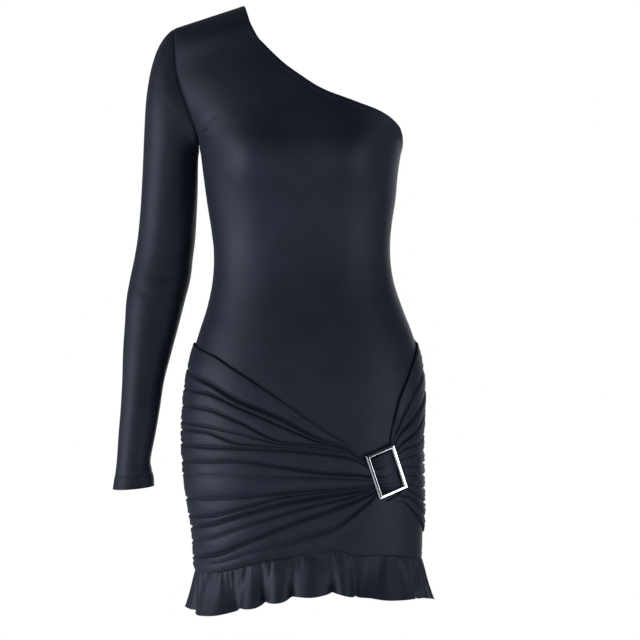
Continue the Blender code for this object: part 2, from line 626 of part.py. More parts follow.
def buckle(collection, cutters):
    """A bevelled frame joined to the bar that the cloth passes over."""
    curve = frame_curve("buckle frame", collection)
    graph = bpy.context.evaluated_depsgraph_get()
    mesh = bpy.data.meshes.new_from_object(curve.evaluated_get(graph))
    bpy.data.objects.remove(curve)
    shape = bmesh.new()
    shape.from_mesh(mesh)
    bmesh.ops.remove_doubles(shape, verts=shape.verts, dist=1e-6)
    bmesh.ops.recalc_face_normals(shape, faces=shape.faces)
    bmesh.ops.translate(shape, verts=shape.verts, vec=(0, 0, BUCKLE_OFF + BUCKLE_THICK / 2))
    shape.to_mesh(mesh)
    shape.free()
    mesh.name = "buckle"
    mesh.materials.clear()
    mesh.materials.append(material("polished chrome plate", (0.75, 0.76, 0.78), 0.06, 1.0))
    frame = bpy.data.objects.new("buckle", mesh)
    collection.objects.link(frame)
    frame.matrix_world = buckle_place()
    bar_mesh = bpy.data.meshes.new("centre bar")
    bar_shape = bmesh.new()
    bmesh.ops.create_cube(bar_shape, size=1.0)
    length = BUCKLE_LENGTH - BUCKLE_BAR
    bmesh.ops.scale(bar_shape, verts=bar_shape.verts, vec=(CENTRE_BAR_WIDTH, length, CENTRE_BAR_THICK))
    height = CENTRE_BAR_OFF + CENTRE_BAR_THICK / 2
    bmesh.ops.translate(bar_shape, verts=bar_shape.verts, vec=(0, 0, height))
    bar_shape.to_mesh(bar_mesh)
    bar_shape.free()
    bar = bpy.data.objects.new("centre bar", bar_mesh)
    cutters.objects.link(bar)
    bar.matrix_world = buckle_place()
    bar.hide_render = True
    bar.display_type = "WIRE"
    join = frame.modifiers.new("Centre bar", "BOOLEAN")
    join.operation = "UNION"
    join.object = bar
    return frame


def main():
    for item in list(bpy.data.objects):
        bpy.data.objects.remove(item)
    dress = bpy.data.collections.new("one-shoulder dress")
    bpy.context.scene.collection.children.link(dress)
    cutters = bpy.data.collections.new("joined shapes")
    bpy.context.scene.collection.children.link(cutters)
    panel("front_panel", False, dress)
    panel("back_panel", True, dress)
    sleeve(dress)
    wide_wrap(dress)
    narrow_wrap(dress)
    ruffle("ruffle_front", FRONT_WAVES, False, dress)
    ruffle("ruffle_back", BACK_WAVES, True, dress)
    buckle(dress, cutters)


main()
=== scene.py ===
"""The looks of a one-shoulder dress in stretch jersey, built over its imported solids.

Each cut piece is a fine shell on the same dress form as its solid, with its
creases laid in as a relief. Metres, +Z up, the front faces -Y, the sleeve is on
-X, and the origin is inside the middle of the shoulder seam.
"""

import math
from collections import namedtuple

import bmesh
import bpy
import numpy as np
from mathutils import Matrix, Vector
from mathutils.bvhtree import BVHTree


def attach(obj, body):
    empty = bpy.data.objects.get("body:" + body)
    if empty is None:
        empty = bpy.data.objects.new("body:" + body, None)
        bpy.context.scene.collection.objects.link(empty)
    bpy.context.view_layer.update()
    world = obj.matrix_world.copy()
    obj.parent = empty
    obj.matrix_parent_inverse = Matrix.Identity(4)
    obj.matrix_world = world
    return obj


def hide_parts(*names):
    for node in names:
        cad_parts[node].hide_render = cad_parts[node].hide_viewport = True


bl_info = {
    "name": "One-shoulder dress",
    "version": (1, 0, 0),
    "blender": (4, 5, 0),
    "location": "3D Viewport > Sidebar > Dress",
    "description": "Builds the cloth, stitching, buckle and studio of a one-shoulder dress",
    "category": "Object",
}

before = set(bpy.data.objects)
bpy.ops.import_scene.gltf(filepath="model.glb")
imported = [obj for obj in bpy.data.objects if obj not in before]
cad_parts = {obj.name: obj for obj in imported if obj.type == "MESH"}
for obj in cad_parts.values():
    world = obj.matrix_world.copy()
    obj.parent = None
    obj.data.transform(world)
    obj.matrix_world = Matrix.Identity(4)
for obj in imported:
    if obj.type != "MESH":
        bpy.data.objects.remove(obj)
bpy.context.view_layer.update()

MILLIMETRE = 0.001
WALL = 0.0007
PANEL_OUT = 0.0016
PANEL_UNDER_WRAP = 0.0002
SEAM_SLIT = 0.00002  # that each half stands from a seam it shares
WRAP_OUT = 0.0038
LOWEST_OUT = 0.0013  # no crease of a wrap goes deeper than this
SEWN_OUT = 0.0019  # a wrap's height where a side seam holds it
SEWN_REACH = 2.6  # degrees over which it comes down to that
WIDE_TURN = 0.0006  # radius of the wide wrap's turned edges
NARROW_TURN = 0.0012
RUFFLE_LENGTH = 0.056

# The dress form: level sections from the hem up, then the roll over the shoulder
Section = namedtuple("Section", "height right left front back middle slant")
SECTIONS = [Section(*row) for row in (
    (-0.745, 0.1400, 0.1585, 0.092, 0.089, 0.000, 0.0),
    (-0.710, 0.1408, 0.1592, 0.094, 0.092, 0.000, 0.0),
    (-0.675, 0.1435, 0.1598, 0.097, 0.097, 0.000, 0.0),
    (-0.640, 0.1492, 0.1600, 0.099, 0.103, 0.000, 0.0),
    (-0.600, 0.1540, 0.1592, 0.101, 0.110, 0.000, 0.0),
    (-0.555, 0.1565, 0.1585, 0.103, 0.116, 0.000, 0.0),
    (-0.510, 0.1545, 0.1600, 0.105, 0.117, 0.000, 0.0),
    (-0.475, 0.1500, 0.1588, 0.105, 0.112, 0.000, 0.0),
    (-0.445, 0.1432, 0.1535, 0.103, 0.103, 0.000, 0.0),
    (-0.415, 0.1338, 0.1448, 0.100, 0.094, 0.000, 0.0),
    (-0.385, 0.1240, 0.1330, 0.096, 0.087, 0.000, 0.0),
    (-0.350, 0.1167, 0.1212, 0.092, 0.081, 0.000, 0.0),
    (-0.315, 0.1150, 0.1165, 0.090, 0.079, 0.000, 0.0),
    (-0.280, 0.1183, 0.1175, 0.093, 0.081, 0.000, 0.0),
    (-0.240, 0.1243, 0.1230, 0.101, 0.086, 0.000, 0.0),
    (-0.205, 0.1290, 0.1265, 0.108, 0.092, 0.000, 0.0),
    (-0.172, 0.1336, 0.1323, 0.110, 0.097, 0.000, 0.0),
    (-0.150, 0.1430, 0.1430, 0.108, 0.099, 0.001, 0.05),
    (-0.125, 0.1550, 0.1550, 0.103, 0.098, 0.002, 0.20),
    (-0.090, 0.1690, 0.1690, 0.091, 0.094, 0.004, 0.50),
)]
ROLL_HEIGHT = -0.055
ROLL_FRONT = 0.074
ROLL_BACK = 0.084
ROLL_HALF_WIDTH = 0.178
ROLL_MIDDLE = 0.006
ROLL_SHIFT = 0.002
ROLL_SLANT = 0.8
ROLL_TURNS = (0, 30, 55, 75, 90)
SQUARENESS = 2.25
SHOULDER_SLOPE = 0.333
SHOULDER_EASE = 0.03
SEAM_MIDDLE = 0.1235
FIGURE_DEPTH = -0.008
BUST_ACROSS = 0.072
BUST_HEIGHT = -0.185
BUST_SPREAD = 0.046
BUST_RISE = 0.016
BUST_EASE = 0.02

# Edges of the cut: degrees across the form, -90 at the wearer's right, and levels up it
Edge = namedtuple("Edge", "across level")
SIDE = 89.98
ARMHOLE = [Edge(*row) for row in (
    (-90.0, 15.94), (-74.0, 16.55), (-66.3, 17.80), (-64.3, 19.00), (-63.7, 20.50), (-68.2, 24.00),
)]
NECKLINE = [Edge(*row) for row in (
    (90.0, 15.90), (73.0, 16.42), (58.0, 17.17), (42.0, 17.82), (25.0, 18.19), (10.0, 18.48),
    (0.0, 18.83), (-8.0, 19.26), (-14.8, 19.84), (-18.8, 20.41), (-22.2, 21.50), (-24.8, 24.00),
)]
FRONT_HEM = [Edge(*row) for row in (
    (-90.0, 0.55), (-71.0, 0.48), (-55.0, 0.53), (-44.0, 0.59), (-35.0, 0.71), (-25.5, 0.89),
    (-8.5, 1.16), (9.0, 1.36), (18.0, 1.40), (24.0, 1.22), (42.0, 1.14), (55.0, 1.04), (90.0, 0.80),
)]
BACK_HEM = [Edge(-90.0, 0.55), Edge(0.0, 0.60), Edge(90.0, 0.80)]
PANEL_COLUMNS = 150
SKIRT_ROWS = 110
YOKE_ROWS = 110
NECK_HEM = 0.0072  # from the neckline to its stitching
NECK_HEM_RISE = 0.00015
BAND_HEIGHT = 0.0110  # from the ruffle's seam to the underskirt's stitching
# Grooves of seams and stitching: depth and width
NECK_STITCHING = (0.00025, 0.0009)
NECK_EDGE = (0.0004, 0.0008)
PANEL_SEAM = (0.0007, 0.0022)
BAND_STITCHING = (0.0006, 0.0012)
RUFFLE_SEAM = (0.0006, 0.0020)
SLEEVE_SEAM = (0.0008, 0.0026)
CUFF_STITCHING = (0.0005, 0.0009)

# Soft creases as seen from the front: path, width and depth in millimetres
Crease = namedtuple("Crease", "path width depth")
FRONT_CREASES = [Crease(*row) for row in (
    (((-11, -160), (-5, -153), (3, -149)), 1.7, 1.5),
    (((-11, -161), (-3, -160), (7, -161)), 1.5, 1.2),
    (((-9, -166), (2, -172), (16, -184)), 3.0, 0.5),
    (((-9, -150), (4, -138), (20, -128)), 4.0, 0.5),
    (((2, -268), (26, -276), (54, -279)), 4.5, 0.35),
    (((-1, -300), (20, -304), (42, -303)), 4.0, 0.30),
    (((246, -262), (226, -270), (200, -272)), 4.5, 0.30),
    (((204, -449), (216, -450), (229, -449)), 1.8, 0.25),
    (((207, -507), (216, -508), (225, -507)), 1.8, 0.25),
    (((262, -150), (246, -156), (226, -156)), 3.0, 0.45),
)]
BACK_CREASES = [Crease(*row) for row in (
    (((-9, -162), (0, -168), (12, -170)), 2.0, 1.1),
    (((-8, -158), (6, -150), (20, -140)), 3.0, 0.6),
    (((4, -290), (40, -306), (90, -312), (140, -306)), 7.0, 1.1),
    (((240, -300), (200, -322), (150, -330), (100, -326)), 8.0, 1.2),
    (((6, -332), (50, -350), (100, -352)), 8.0, 0.8),
    (((238, -268), (200, -280), (160, -284)), 6.0, 0.7),
)]
SLEEVE_CREASES = [Crease(*row) for row in (
    (((-14, -166), (-19, -196), (-30, -240), (-38, -280)), 4.5, 1.3),
    (((-19, -176), (-36, -214), (-47, -262)), 6.0, 0.8),
    (((-15, -182), (-30, -190), (-50, -186)), 4.0, 0.5),
    (((-20, -296), (-42, -312), (-72, -316)), 5.0, 0.7),
    (((-24, -330), (-50, -342), (-84, -336)), 5.0, 0.8),
    (((-29, -362), (-54, -366), (-80, -372)), 5.0, 0.7),
    (((-102, -352), (-84, -362), (-66, -386)), 5.0, 0.5),
    (((-46, -430), (-66, -446), (-92, -444)), 5.0, 0.45),
    (((-56, -486), (-76, -500), (-104, -496)), 5.0, 0.40),
    (((-70, -560), (-86, -572), (-112, -570)), 3.5, 0.40),
)]

# The wide wrap: levels of each fold's valley at nine stations, then how far it
# stands off, how far the cloth puffs below it, and the valley's own crease, in
# millimetres at five stations, and the crease's width
STATIONS = (0.0, 0.15, 0.30, 0.45, 0.60, 0.74, 0.83, 0.91, 1.0)
HEIGHT_STATIONS = (0.0, 0.12, 0.45, 0.75, 1.0)
Fold = namedtuple("Fold", "name levels dip puff crease width")
WIDE_FOLDS = [
    Fold("top edge", (8.48, 8.32, 8.05, 7.27, 6.29, 5.44, 5.00, 4.51, 4.71),
         (0.4, 0.8, 1.0, 0.6, 0.0), (1.4, 1.6, 1.0, 0.6, 0.3), (0.0, 0.0, 0.0, 0.0, 0.0), 1.0),
    Fold("first", (7.35, 7.19, 6.90, 6.25, 5.73, 5.13, 4.86, 4.47, 4.67),
         (0.0, 0.3, 0.0, 0.0, 0.0), (1.2, 1.5, 1.8, 1.2, 0.3), (0.5, 1.3, 1.9, 1.2, 0.3), 2.6),
    Fold("second", (6.50, 6.52, 6.47, 6.02, 5.50, 5.03, 4.80, 4.43, 4.64),
         (0.0, 0.0, 0.0, 0.0, 0.0), (1.8, 2.2, 2.0, 1.0, 0.3), (0.9, 1.2, 1.6, 1.2, 0.3), 1.2),
    Fold("third", (5.90, 5.97, 5.93, 5.59, 5.06, 4.94, 4.75, 4.39, 4.60),
         (0.0, 0.0, 0.2, 0.4, 0.0), (1.6, 1.8, 1.2, 0.6, 0.3), (1.4, 1.6, 1.2, 0.5, 0.2), 1.3),
    Fold("fourth", (5.46, 5.46, 5.42, 5.27, 4.99, 4.87, 4.70, 4.35, 4.56),
         (0.0, 0.2, 1.0, 0.6, 0.0), (1.2, 1.2, 1.0, 0.6, 0.3), (1.0, 1.1, 0.5, 0.5, 0.2), 1.3),
    Fold("fifth", (5.18, 5.27, 5.26, 4.98, 4.90, 4.80, 4.64, 4.32, 4.52),
         (0.0, 0.0, 0.3, 0.5, 0.0), (1.4, 1.8, 1.0, 0.5, 0.3), (1.4, 1.2, 0.9, 0.4, 0.2), 1.2),
    Fold("sixth", (4.83, 4.83, 4.84, 4.85, 4.82, 4.71, 4.57, 4.28, 4.47),
         (0.0, 0.0, 0.0, 0.0, 0.1), (1.8, 2.0, 1.8, 1.2, 0.4), (1.4, 1.2, 1.2, 1.5, 0.5), 1.6),
    Fold("seventh", (4.30, 4.37, 4.42, 4.48, 4.33, 4.16, 4.10, 4.01, 4.19),
         (0.0, 0.0, 0.0, 0.0, 0.1), (1.6, 1.6, 1.2, 1.6, 0.4), (1.4, 1.1, 0.8, 0.9, 0.6), 1.4),
    Fold("hook", (3.92, 3.95, 4.02, 4.06, 4.06, 4.02, 3.96, 3.91, 4.10),
         (0.0, 0.8, 1.4, 1.6, 0.2), (1.8, 2.0, 2.2, 1.8, 0.4), (1.6, 0.6, 0.1, 0.3, 0.2), 1.3),
    Fold("eighth", (3.10, 3.19, 3.27, 3.39, 3.55, 3.64, 3.68, 3.76, 3.97),
         (0.0, 0.0, 0.0, 0.0, 0.1), (2.0, 2.2, 1.6, 0.6, 0.3), (1.6, 1.3, 0.8, 1.6, 0.8), 1.5),
    Fold("ninth", (2.50, 2.54, 2.66, 3.03, 3.43, 3.58, 3.63, 3.71, 3.93),
         (0.0, 0.0, 0.2, 0.2, 0.1), (1.8, 2.2, 1.6, 0.6, 0.3), (1.3, 1.3, 1.0, 1.0, 0.3), 1.4),
    Fold("tenth", (2.00, 2.14, 2.36, 2.80, 3.22, 3.46, 3.56, 3.67, 3.89),
         (0.0, 0.0, 0.0, 0.0, 0.1), (1.8, 2.0, 2.2, 1.4, 0.3), (1.4, 1.6, 1.8, 1.4, 0.4), 1.8),
    Fold("eleventh", (1.45, 1.60, 1.85, 2.35, 2.88, 3.25, 3.46, 3.64, 3.86),
         (0.0, 0.5, 1.6, 1.2, 0.1), (1.6, 2.0, 2.2, 1.2, 0.3), (1.6, 0.6, 0.9, 1.2, 0.4), 1.4),
    Fold("lowest", (0.86, 0.98, 1.19, 1.76, 2.42, 2.97, 3.33, 3.60, 3.84),
         (0.0, 0.0, 0.0, 0.0, 0.1), (0.8, 1.2, 1.8, 2.0, 0.3), (0.9, 1.0, 1.8, 1.6, 0.6), 1.8),
    Fold("tail", (0.68, 0.70, 0.85, 1.30, 1.78, 2.27, 2.99, 3.58, 3.84),
         (0.4, 0.8, 1.4, 0.2, 0.0), (0.4, 0.6, 1.0, 1.2, 0.2), (0.0, 0.0, 0.3, 1.3, 0.4), 2.4),
    Fold("free edge", (0.55, 0.48, 0.58, 0.92, 1.24, 1.50, 2.58, 3.55, 3.82),
         (0.0, 0.0, 0.4, 0.6, 0.0), (0.0, 0.0, 0.0, 0.0, 0.0), (0.0, 0.0, 0.0, 0.0, 0.0), 1.0),
]
OPENING_LEVEL = 4.24  # where the wrap is spread to fill the buckle's opening
OPENING_SPREAD = 0.33
WIDE_COLUMNS = 210
WIDE_STEPS = 12
WIDE_END = (43.0, 52.2)

# The narrow wrap: five points down each fold's valley, then its dip, puff and
# crease at the buckle, the middle and the seam
Pull = namedtuple("Pull", "name path dip puff crease width")
NARROW_FOLDS = [
    Pull("top edge", ((43.7, 4.84), (45.7, 5.55), (52.0, 6.60), (67.0, 7.85), (90.0, 8.62)),
         (0.0, 0.8, 0.4), (0.4, 1.4, 1.2), (0.0, 0.0, 0.0), 1.0),
    Pull("middle", ((44.1, 4.79), (47.8, 5.35), (55.0, 6.00), (68.0, 6.80), (90.0, 7.40)),
         (0.1, 1.6, 0.0), (0.4, 1.8, 1.6), (0.3, 1.8, 1.4), 2.2),
    Pull("first", ((44.5, 4.74), (49.8, 5.22), (59.0, 5.55), (70.0, 5.95), (90.0, 6.60)),
         (0.0, 0.0, 0.0), (0.4, 2.2, 1.8), (0.3, 1.8, 1.6), 2.0),
    Pull("second", ((45.1, 4.66), (52.8, 4.97), (63.0, 5.20), (74.0, 5.50), (90.0, 5.95)),
         (0.0, 0.0, 0.0), (0.4, 1.8, 1.6), (0.3, 1.6, 1.5), 1.6),
    Pull("third", ((46.0, 4.57), (53.8, 4.76), (63.0, 4.84), (74.0, 4.92), (90.0, 5.12)),
         (0.0, 0.0, 0.0), (0.4, 1.2, 1.4), (0.2, 1.2, 1.5), 1.3),
    Pull("fourth", ((47.2, 4.42), (55.8, 4.52), (65.0, 4.56), (76.0, 4.60), (90.0, 4.64)),
         (0.0, 0.5, 0.0), (0.4, 1.2, 1.4), (0.2, 0.8, 1.5), 1.1),
    Pull("fifth", ((48.8, 4.22), (56.8, 4.25), (66.0, 4.25), (77.0, 4.25), (90.0, 4.25)),
         (0.0, 0.3, 0.0), (0.4, 1.2, 1.4), (0.2, 0.7, 1.5), 1.1),
    Pull("sixth", ((50.3, 4.02), (57.8, 3.98), (67.0, 3.94), (78.0, 3.90), (90.0, 3.86)),
         (0.0, 0.3, 0.0), (0.4, 1.2, 1.4), (0.2, 0.7, 1.5), 1.1),
    Pull("seventh", ((52.0, 3.80), (58.8, 3.68), (67.0, 3.58), (78.0, 3.48), (90.0, 3.42)),
         (0.0, 0.2, 0.0), (0.4, 1.2, 1.4), (0.2, 0.8, 1.5), 1.2),
    Pull("eighth", ((53.4, 3.60), (60.8, 3.42), (68.0, 3.22), (78.0, 3.02), (90.0, 2.92)),
         (0.0, 0.0, 0.0), (0.4, 1.8, 1.6), (0.3, 1.3, 1.4), 1.4),
    Pull("ninth", ((48.4, 3.38), (58.2, 3.24), (66.0, 2.95), (77.0, 2.58), (90.0, 2.36)),
         (0.0, 0.2, 0.0), (0.4, 1.2, 1.2), (0.5, 1.3, 1.3), 1.4),
    Pull("lower edge", ((42.0, 3.20), (53.0, 3.12), (62.0, 2.72), (74.0, 2.25), (90.0, 1.75)),
         (0.0, 0.4, 0.2), (0.0, 0.0, 0.0), (0.0, 0.0, 0.0), 1.0),
]
NARROW_COLUMNS = 110
NARROW_STEPS = 13

# The ruffle's waves: crest and trough in degrees across, reach in millimetres
Wave = namedtuple("Wave", "crest out trough inward")
FRONT_WAVES = [Wave(*row) for row in (
    (-90.0, 13.0, -71.0, 2.0), (-50.0, 17.0, -34.0, -3.0), (-26.0, 14.0, -19.0, -1.0),
    (-12.0, 13.0, -5.5, 0.0), (4.0, 13.0, 14.5, -4.0), (20.0, 12.0, 26.0, -5.0),
    (46.0, 15.0, 67.0, -2.0),
)]
BACK_WAVES = [Wave(*row) for row in (
    (-90.0, 13.0, -67.0, 0.0), (-52.0, 16.0, -38.0, -2.0), (-26.0, 14.0, -17.0, -2.0),
    (-6.0, 14.0, 5.0, -3.0), (16.0, 15.0, 26.0, -1.0), (37.0, 13.0, 47.0, -2.0),
    (60.0, 16.0, 72.0, 0.0),
)]
LAST_CREST = 16.0
RUFFLE_COLUMNS = 560
RUFFLE_ROWS = 30
RUFFLE_FLARE = 1.4
RUFFLE_TUCK = 0.0009  # that its top lies under the panel's face
RUFFLE_LAP = 0.0012  # that it reaches up behind the seam
RUFFLE_STAND = 0.0012
GATHER_RISE = 0.0015
FLUTE_RISE = 0.0026
HEM_LIFT = 0.0025  # that a trough's hem hangs higher than a crest's
HEM_WAVE = 0.0012

# The sleeve: sections from the armhole to the cuff, in millimetres
Ring = namedtuple("Ring", "outer_x outer_z inner_x inner_z depth back")
SLEEVE = [Ring(*row) for row in (
    (-47.3, -14.4, -12.1, -174.0, 52, -6),
    (-58.0, -25.6, -12.4, -175.4, 51, -6),
    (-67.3, -41.0, -12.8, -177.3, 50, -5),
    (-74.6, -62.2, -13.2, -179.3, 48, -4),
    (-79.3, -83.5, -13.6, -183.3, 46, -3),
    (-83.0, -110.1, -13.8, -188.6, 44, -2),
    (-84.9, -139.4, -14.1, -196.6, 42, -1),
    (-86.6, -171.3, -14.4, -209.9, 40, 0),
    (-88.6, -211.2, -15.0, -232.5, 39, 2),
    (-91.0, -251.1, -16.4, -261.7, 38, 3),
    (-94.6, -288.3, -18.6, -293.7, 38, 4),
    (-99.2, -317.6, -21.7, -318.9, 37, 3),
    (-105.2, -345.5, -24.7, -345.5, 37, 1),
    (-109.9, -373.5, -31.4, -373.5, 36, -3),
    (-111.6, -406.7, -39.8, -406.7, 34, -8),
    (-113.4, -442.6, -49.3, -442.6, 32, -14),
    (-114.1, -479.9, -58.7, -479.9, 29, -20),
    (-115.8, -517.1, -64.2, -517.1, 27, -26),
    (-118.4, -550.4, -69.6, -550.4, 25, -31),
    (-120.2, -582.3, -75.7, -582.3, 24, -35),
    (-121.6, -597.0, -74.5, -595.0, 24.5, -37),
    (-123.2, -608.9, -72.0, -606.3, 25.5, -38),
    (-124.9, -622.0, -71.3, -617.6, 27, -40),
)]
SLEEVE_ROWS = 330
SLEEVE_AROUND = 120
ARMHOLE_FADE = 0.30
CUFF_HEM = 0.0190
CUFF_ROWS_APART = 0.0028

# The buckle
BUCKLE_ACROSS = 41.0
BUCKLE_TURN = 6.0  # degrees that the frame faces forward of the cloth under it
BUCKLE_LEVEL = 4.15
BUCKLE_LEAN = 20.0
BUCKLE_WIDTH = 0.0425
BUCKLE_LENGTH = 0.0615
BUCKLE_BAR = 0.0052
BUCKLE_OFF = 0.0072
CENTRE_BAR_WIDTH = 0.0034
CENTRE_BAR_THICK = 0.0024
CENTRE_BAR_OFF = 0.0040
FRAME_DOME = 2.5  # metres that the frame drops per square metre from its middle
BAR_LEAN = 6.2
CROWN_RISE = 0.0059
CROWN_SPREAD = 6.4
# Across one bar from its outer side, and height, in millimetres
BAR_PROFILE = [(0.0, 0.0), (0.0, 1.7), (1.2, 3.4), (3.7, 3.4), (5.2, 2.0), (5.2, 0.0)]


def section_table():
    """The level sections as rows of numbers, with the roll over the shoulder added."""
    rows = [list(section) for section in SECTIONS]
    for turn in ROLL_TURNS:
        up = math.sin(math.radians(turn))
        out = math.cos(math.radians(turn))
        half = ROLL_HALF_WIDTH + ROLL_SHIFT * up
        middle = ROLL_MIDDLE + ROLL_SHIFT * up
        slant = ROLL_SLANT + (1 - ROLL_SLANT) * up
        height = ROLL_HEIGHT * (1 - up)
        rows.append([height, half, half, ROLL_FRONT * out, ROLL_BACK * out, middle, slant])
    return np.array(rows)


TABLE = section_table()
TOP = len(TABLE) - 1.0
SEAM_TOP = TOP - 0.006


def hermite(t, start, end, leave, arrive):
    """A smooth step from start to end, with the slopes it leaves and arrives at."""
    cube = t**3
    square = t**2
    return (
        (2 * cube - 3 * square + 1) * start
        + (cube - 2 * square + t) * leave
        + (3 * square - 2 * cube) * end
        + (cube - square) * arrive
    )


def through(table, at):
    """A smooth curve through the rows of a table, at a place counted in rows."""
    table = np.asarray(table, float)
    at = np.clip(np.asarray(at, float), 0, len(table) - 1)
    row = np.minimum(at.astype(int), len(table) - 2)
    t = (at - row)[..., None]
    start = table[row]
    end = table[row + 1]
    leave = (end - table[np.maximum(row - 1, 0)]) / 2
    arrive = (table[np.minimum(row + 2, len(table) - 1)] - start) / 2
    return hermite(t, start, end, leave, arrive)


def smooth_through(stations, values, at):
    """A smooth curve through values at uneven stations, without overshoot."""
    stations = np.asarray(stations, float)
    values = np.asarray(values, float)
    steps = np.diff(values) / np.diff(stations)
    slopes = np.zeros(len(values))
    same_way = steps[1:] * steps[:-1] > 0
    both = steps[1:] + steps[:-1]
    both[both == 0] = 1.0
    slopes[1:-1] = np.where(same_way, 2 * steps[1:] * steps[:-1] / both, 0.0)
    slopes[0] = steps[0]
    slopes[-1] = steps[-1]
    at = np.clip(at, stations[0], stations[-1])
    cell = np.clip(np.searchsorted(stations, at, side="right") - 1, 0, len(stations) - 2)
    width = stations[cell + 1] - stations[cell]
    t = (at - stations[cell]) / width
    return hermite(t, values[cell], values[cell + 1], slopes[cell] * width, slopes[cell + 1] * width)


def ease(value):
    """0 to 1 along a soft step."""
    value = np.clip(value, 0, 1)
    return value * value * (3 - 2 * value)


def value_noise(x, y, seed):
    """Smooth noise from -1 to 1, the same on every run for one seed."""
    lattice = np.random.RandomState(seed).uniform(-1, 1, (64, 64))
    column = np.floor(x).astype(int)
    row = np.floor(y).astype(int)
    across = ease(x - column)
    up = ease(y - row)
    low = lattice[row % 64, column % 64] * (1 - across) + lattice[row % 64, (column + 1) % 64] * across
    row = row + 1
    high = lattice[row % 64, column % 64] * (1 - across) + lattice[row % 64, (column + 1) % 64] * across
    return low * (1 - up) + high * up


def shoulder_drop(across):
    """How far the shoulder line lies below the middle of its seam."""
    soft = SHOULDER_EASE**2
    return SHOULDER_SLOPE * (math.sqrt(SEAM_MIDDLE**2 + soft) - np.sqrt(across**2 + soft))


def figure(across, level, back=False):
    """Points on the dress form, from degrees across it and levels up it."""
    across, level = np.broadcast_arrays(np.asarray(across, float), np.asarray(level, float))
    height, right, left, front, rear, middle, slant = np.moveaxis(through(TABLE, level), -1, 0)
    sine = np.sin(np.radians(across))
    cosine = np.cos(np.radians(across))
    reach = (np.abs(sine) ** SQUARENESS + np.abs(cosine) ** SQUARENESS) ** (-1 / SQUARENESS)
    x = np.where(sine < 0, right, left) * reach * sine
    depth = (rear if back else front) * reach * cosine
    z = height + slant * shoulder_drop(x)
    if not back:
        aside = (np.sqrt(x**2 + BUST_EASE**2) - BUST_ACROSS) / BUST_SPREAD
        above = (z - BUST_HEIGHT) / BUST_SPREAD
        depth = depth + BUST_RISE * np.exp(-(aside**2) - above**2) * np.clip(2 * cosine, 0, 1)
    y = middle + FIGURE_DEPTH + (depth if back else -depth)
    return np.stack([x + SEAM_MIDDLE, y, z], -1)


def outward(across, level, back=False):
    """The direction straight out of the form at each place."""
    step = 0.05
    level = np.clip(level, step, TOP - step)
    sideways = figure(across + step, level, back) - figure(across - step, level, back)
    upwards = figure(across, level + step, back) - figure(across, level - step, back)
    normal = np.cross(upwards, sideways) if back else np.cross(sideways, upwards)
    return normal / np.linalg.norm(normal, axis=-1, keepdims=True)


def off_figure(across, level, out, back=False):
    """Points that stand a distance outside the form."""
    return figure(across, level, back) + outward(across, level, back) * np.asarray(out)[..., None]


def hem_level(across, back=False):
    """The level of the ruffle's seam."""
    hem = BACK_HEM if back else FRONT_HEM
    return smooth_through([edge.across for edge in hem], [edge.level for edge in hem], across)


def run_length(points, axis):
    """Distance travelled along the rows or the columns of a grid."""
    steps = np.linalg.norm(np.diff(points, axis=axis), axis=-1)
    lengths = np.cumsum(steps, axis=axis)
    start = np.zeros_like(np.take(lengths, [0], axis=axis))
    return np.concatenate([start, lengths], axis=axis)


def distance_to(points, line):
    """Distance from each point to a line of points, and how far along it, 0 to 1."""
    nearest = np.full(points.shape[:-1], np.inf)
    share = np.zeros(points.shape[:-1])
    count = len(line) - 1
    for index in range(count):
        start = line[index]
        run = line[index + 1] - start
        t = np.clip(((points - start) @ run) / max(run @ run, 1e-12), 0, 1)
        away = np.linalg.norm(points - start - t[..., None] * run, axis=-1)
        closer = away < nearest
        nearest[closer] = away[closer]
        share[closer] = (index + t[closer]) / count
    return nearest, share


def trough(distance, width):
    """A soft trough of depth 1 with a slight lip on each side."""
    q = np.abs(distance) / width
    return 0.30 * np.exp(-(((q - 2.3) / 1.2) ** 2)) - np.exp(-(q**2))


def groove(distance, depth, width):
    """A soft groove along a line, at each distance from it."""
    return -depth * np.exp(-((distance / width) ** 2))


def seen_creases(points, creases):
    """The relief of creases whose paths are drawn as seen from the front."""
    relief = np.zeros(points.shape[:-1])
    flat = points[..., [0, 2]]
    for crease in creases:
        stations = np.linspace(0, len(crease.path) - 1, 9)
        line = through(crease.path, stations) * MILLIMETRE
        away, share = distance_to(flat, line)
        fade = np.sin(math.pi * np.clip(share, 0, 1)) ** 0.7
        relief += crease.depth * MILLIMETRE * fade * trough(away, crease.width * MILLIMETRE)
    return relief


def linear(colour):
    """An sRGB hex colour as linear numbers."""
    channels = [int(colour[start:start + 2], 16) / 255 for start in (1, 3, 5)]
    return tuple(c / 12.92 if c <= 0.04045 else ((c + 0.055) / 1.055) ** 2.4 for c in channels)


def add_node(tree, kind, place, inputs=None, **settings):
    """A new node with its settings and its sockets' own values."""
    node = tree.nodes.new(kind)
    node.location = place
    for name, value in settings.items():
        setattr(node, name, value)
    for name, value in (inputs or {}).items():
        node.inputs[name].default_value = value
    return node


def new_material(name):
    """A material with an empty tree, its surface node and its texture coordinates."""
    made = bpy.data.materials.new(name)
    made.use_nodes = True
    tree = made.node_tree
    tree.nodes.clear()
    output = add_node(tree, "ShaderNodeOutputMaterial", (600, 0))
    surface = add_node(tree, "ShaderNodeBsdfPrincipled", (300, 0))
    tree.links.new(surface.outputs["BSDF"], output.inputs["Surface"])
    place = add_node(tree, "ShaderNodeTexCoord", (-900, 0))
    return made, tree, surface, place


def wire(tree, *rows):
    """Links, each given as a node, its output, another node and its input."""
    for start, output, end, socket in rows:
        tree.links.new(start.outputs[output], end.inputs[socket])


def noise_node(tree, place, height, scale, detail):
    """Noise laid through the piece's own space."""
    noise = add_node(tree, "ShaderNodeTexNoise", (-600, height), {"Scale": scale, "Detail": detail})
    wire(tree, (place, "Object", noise, "Vector"))
    return noise


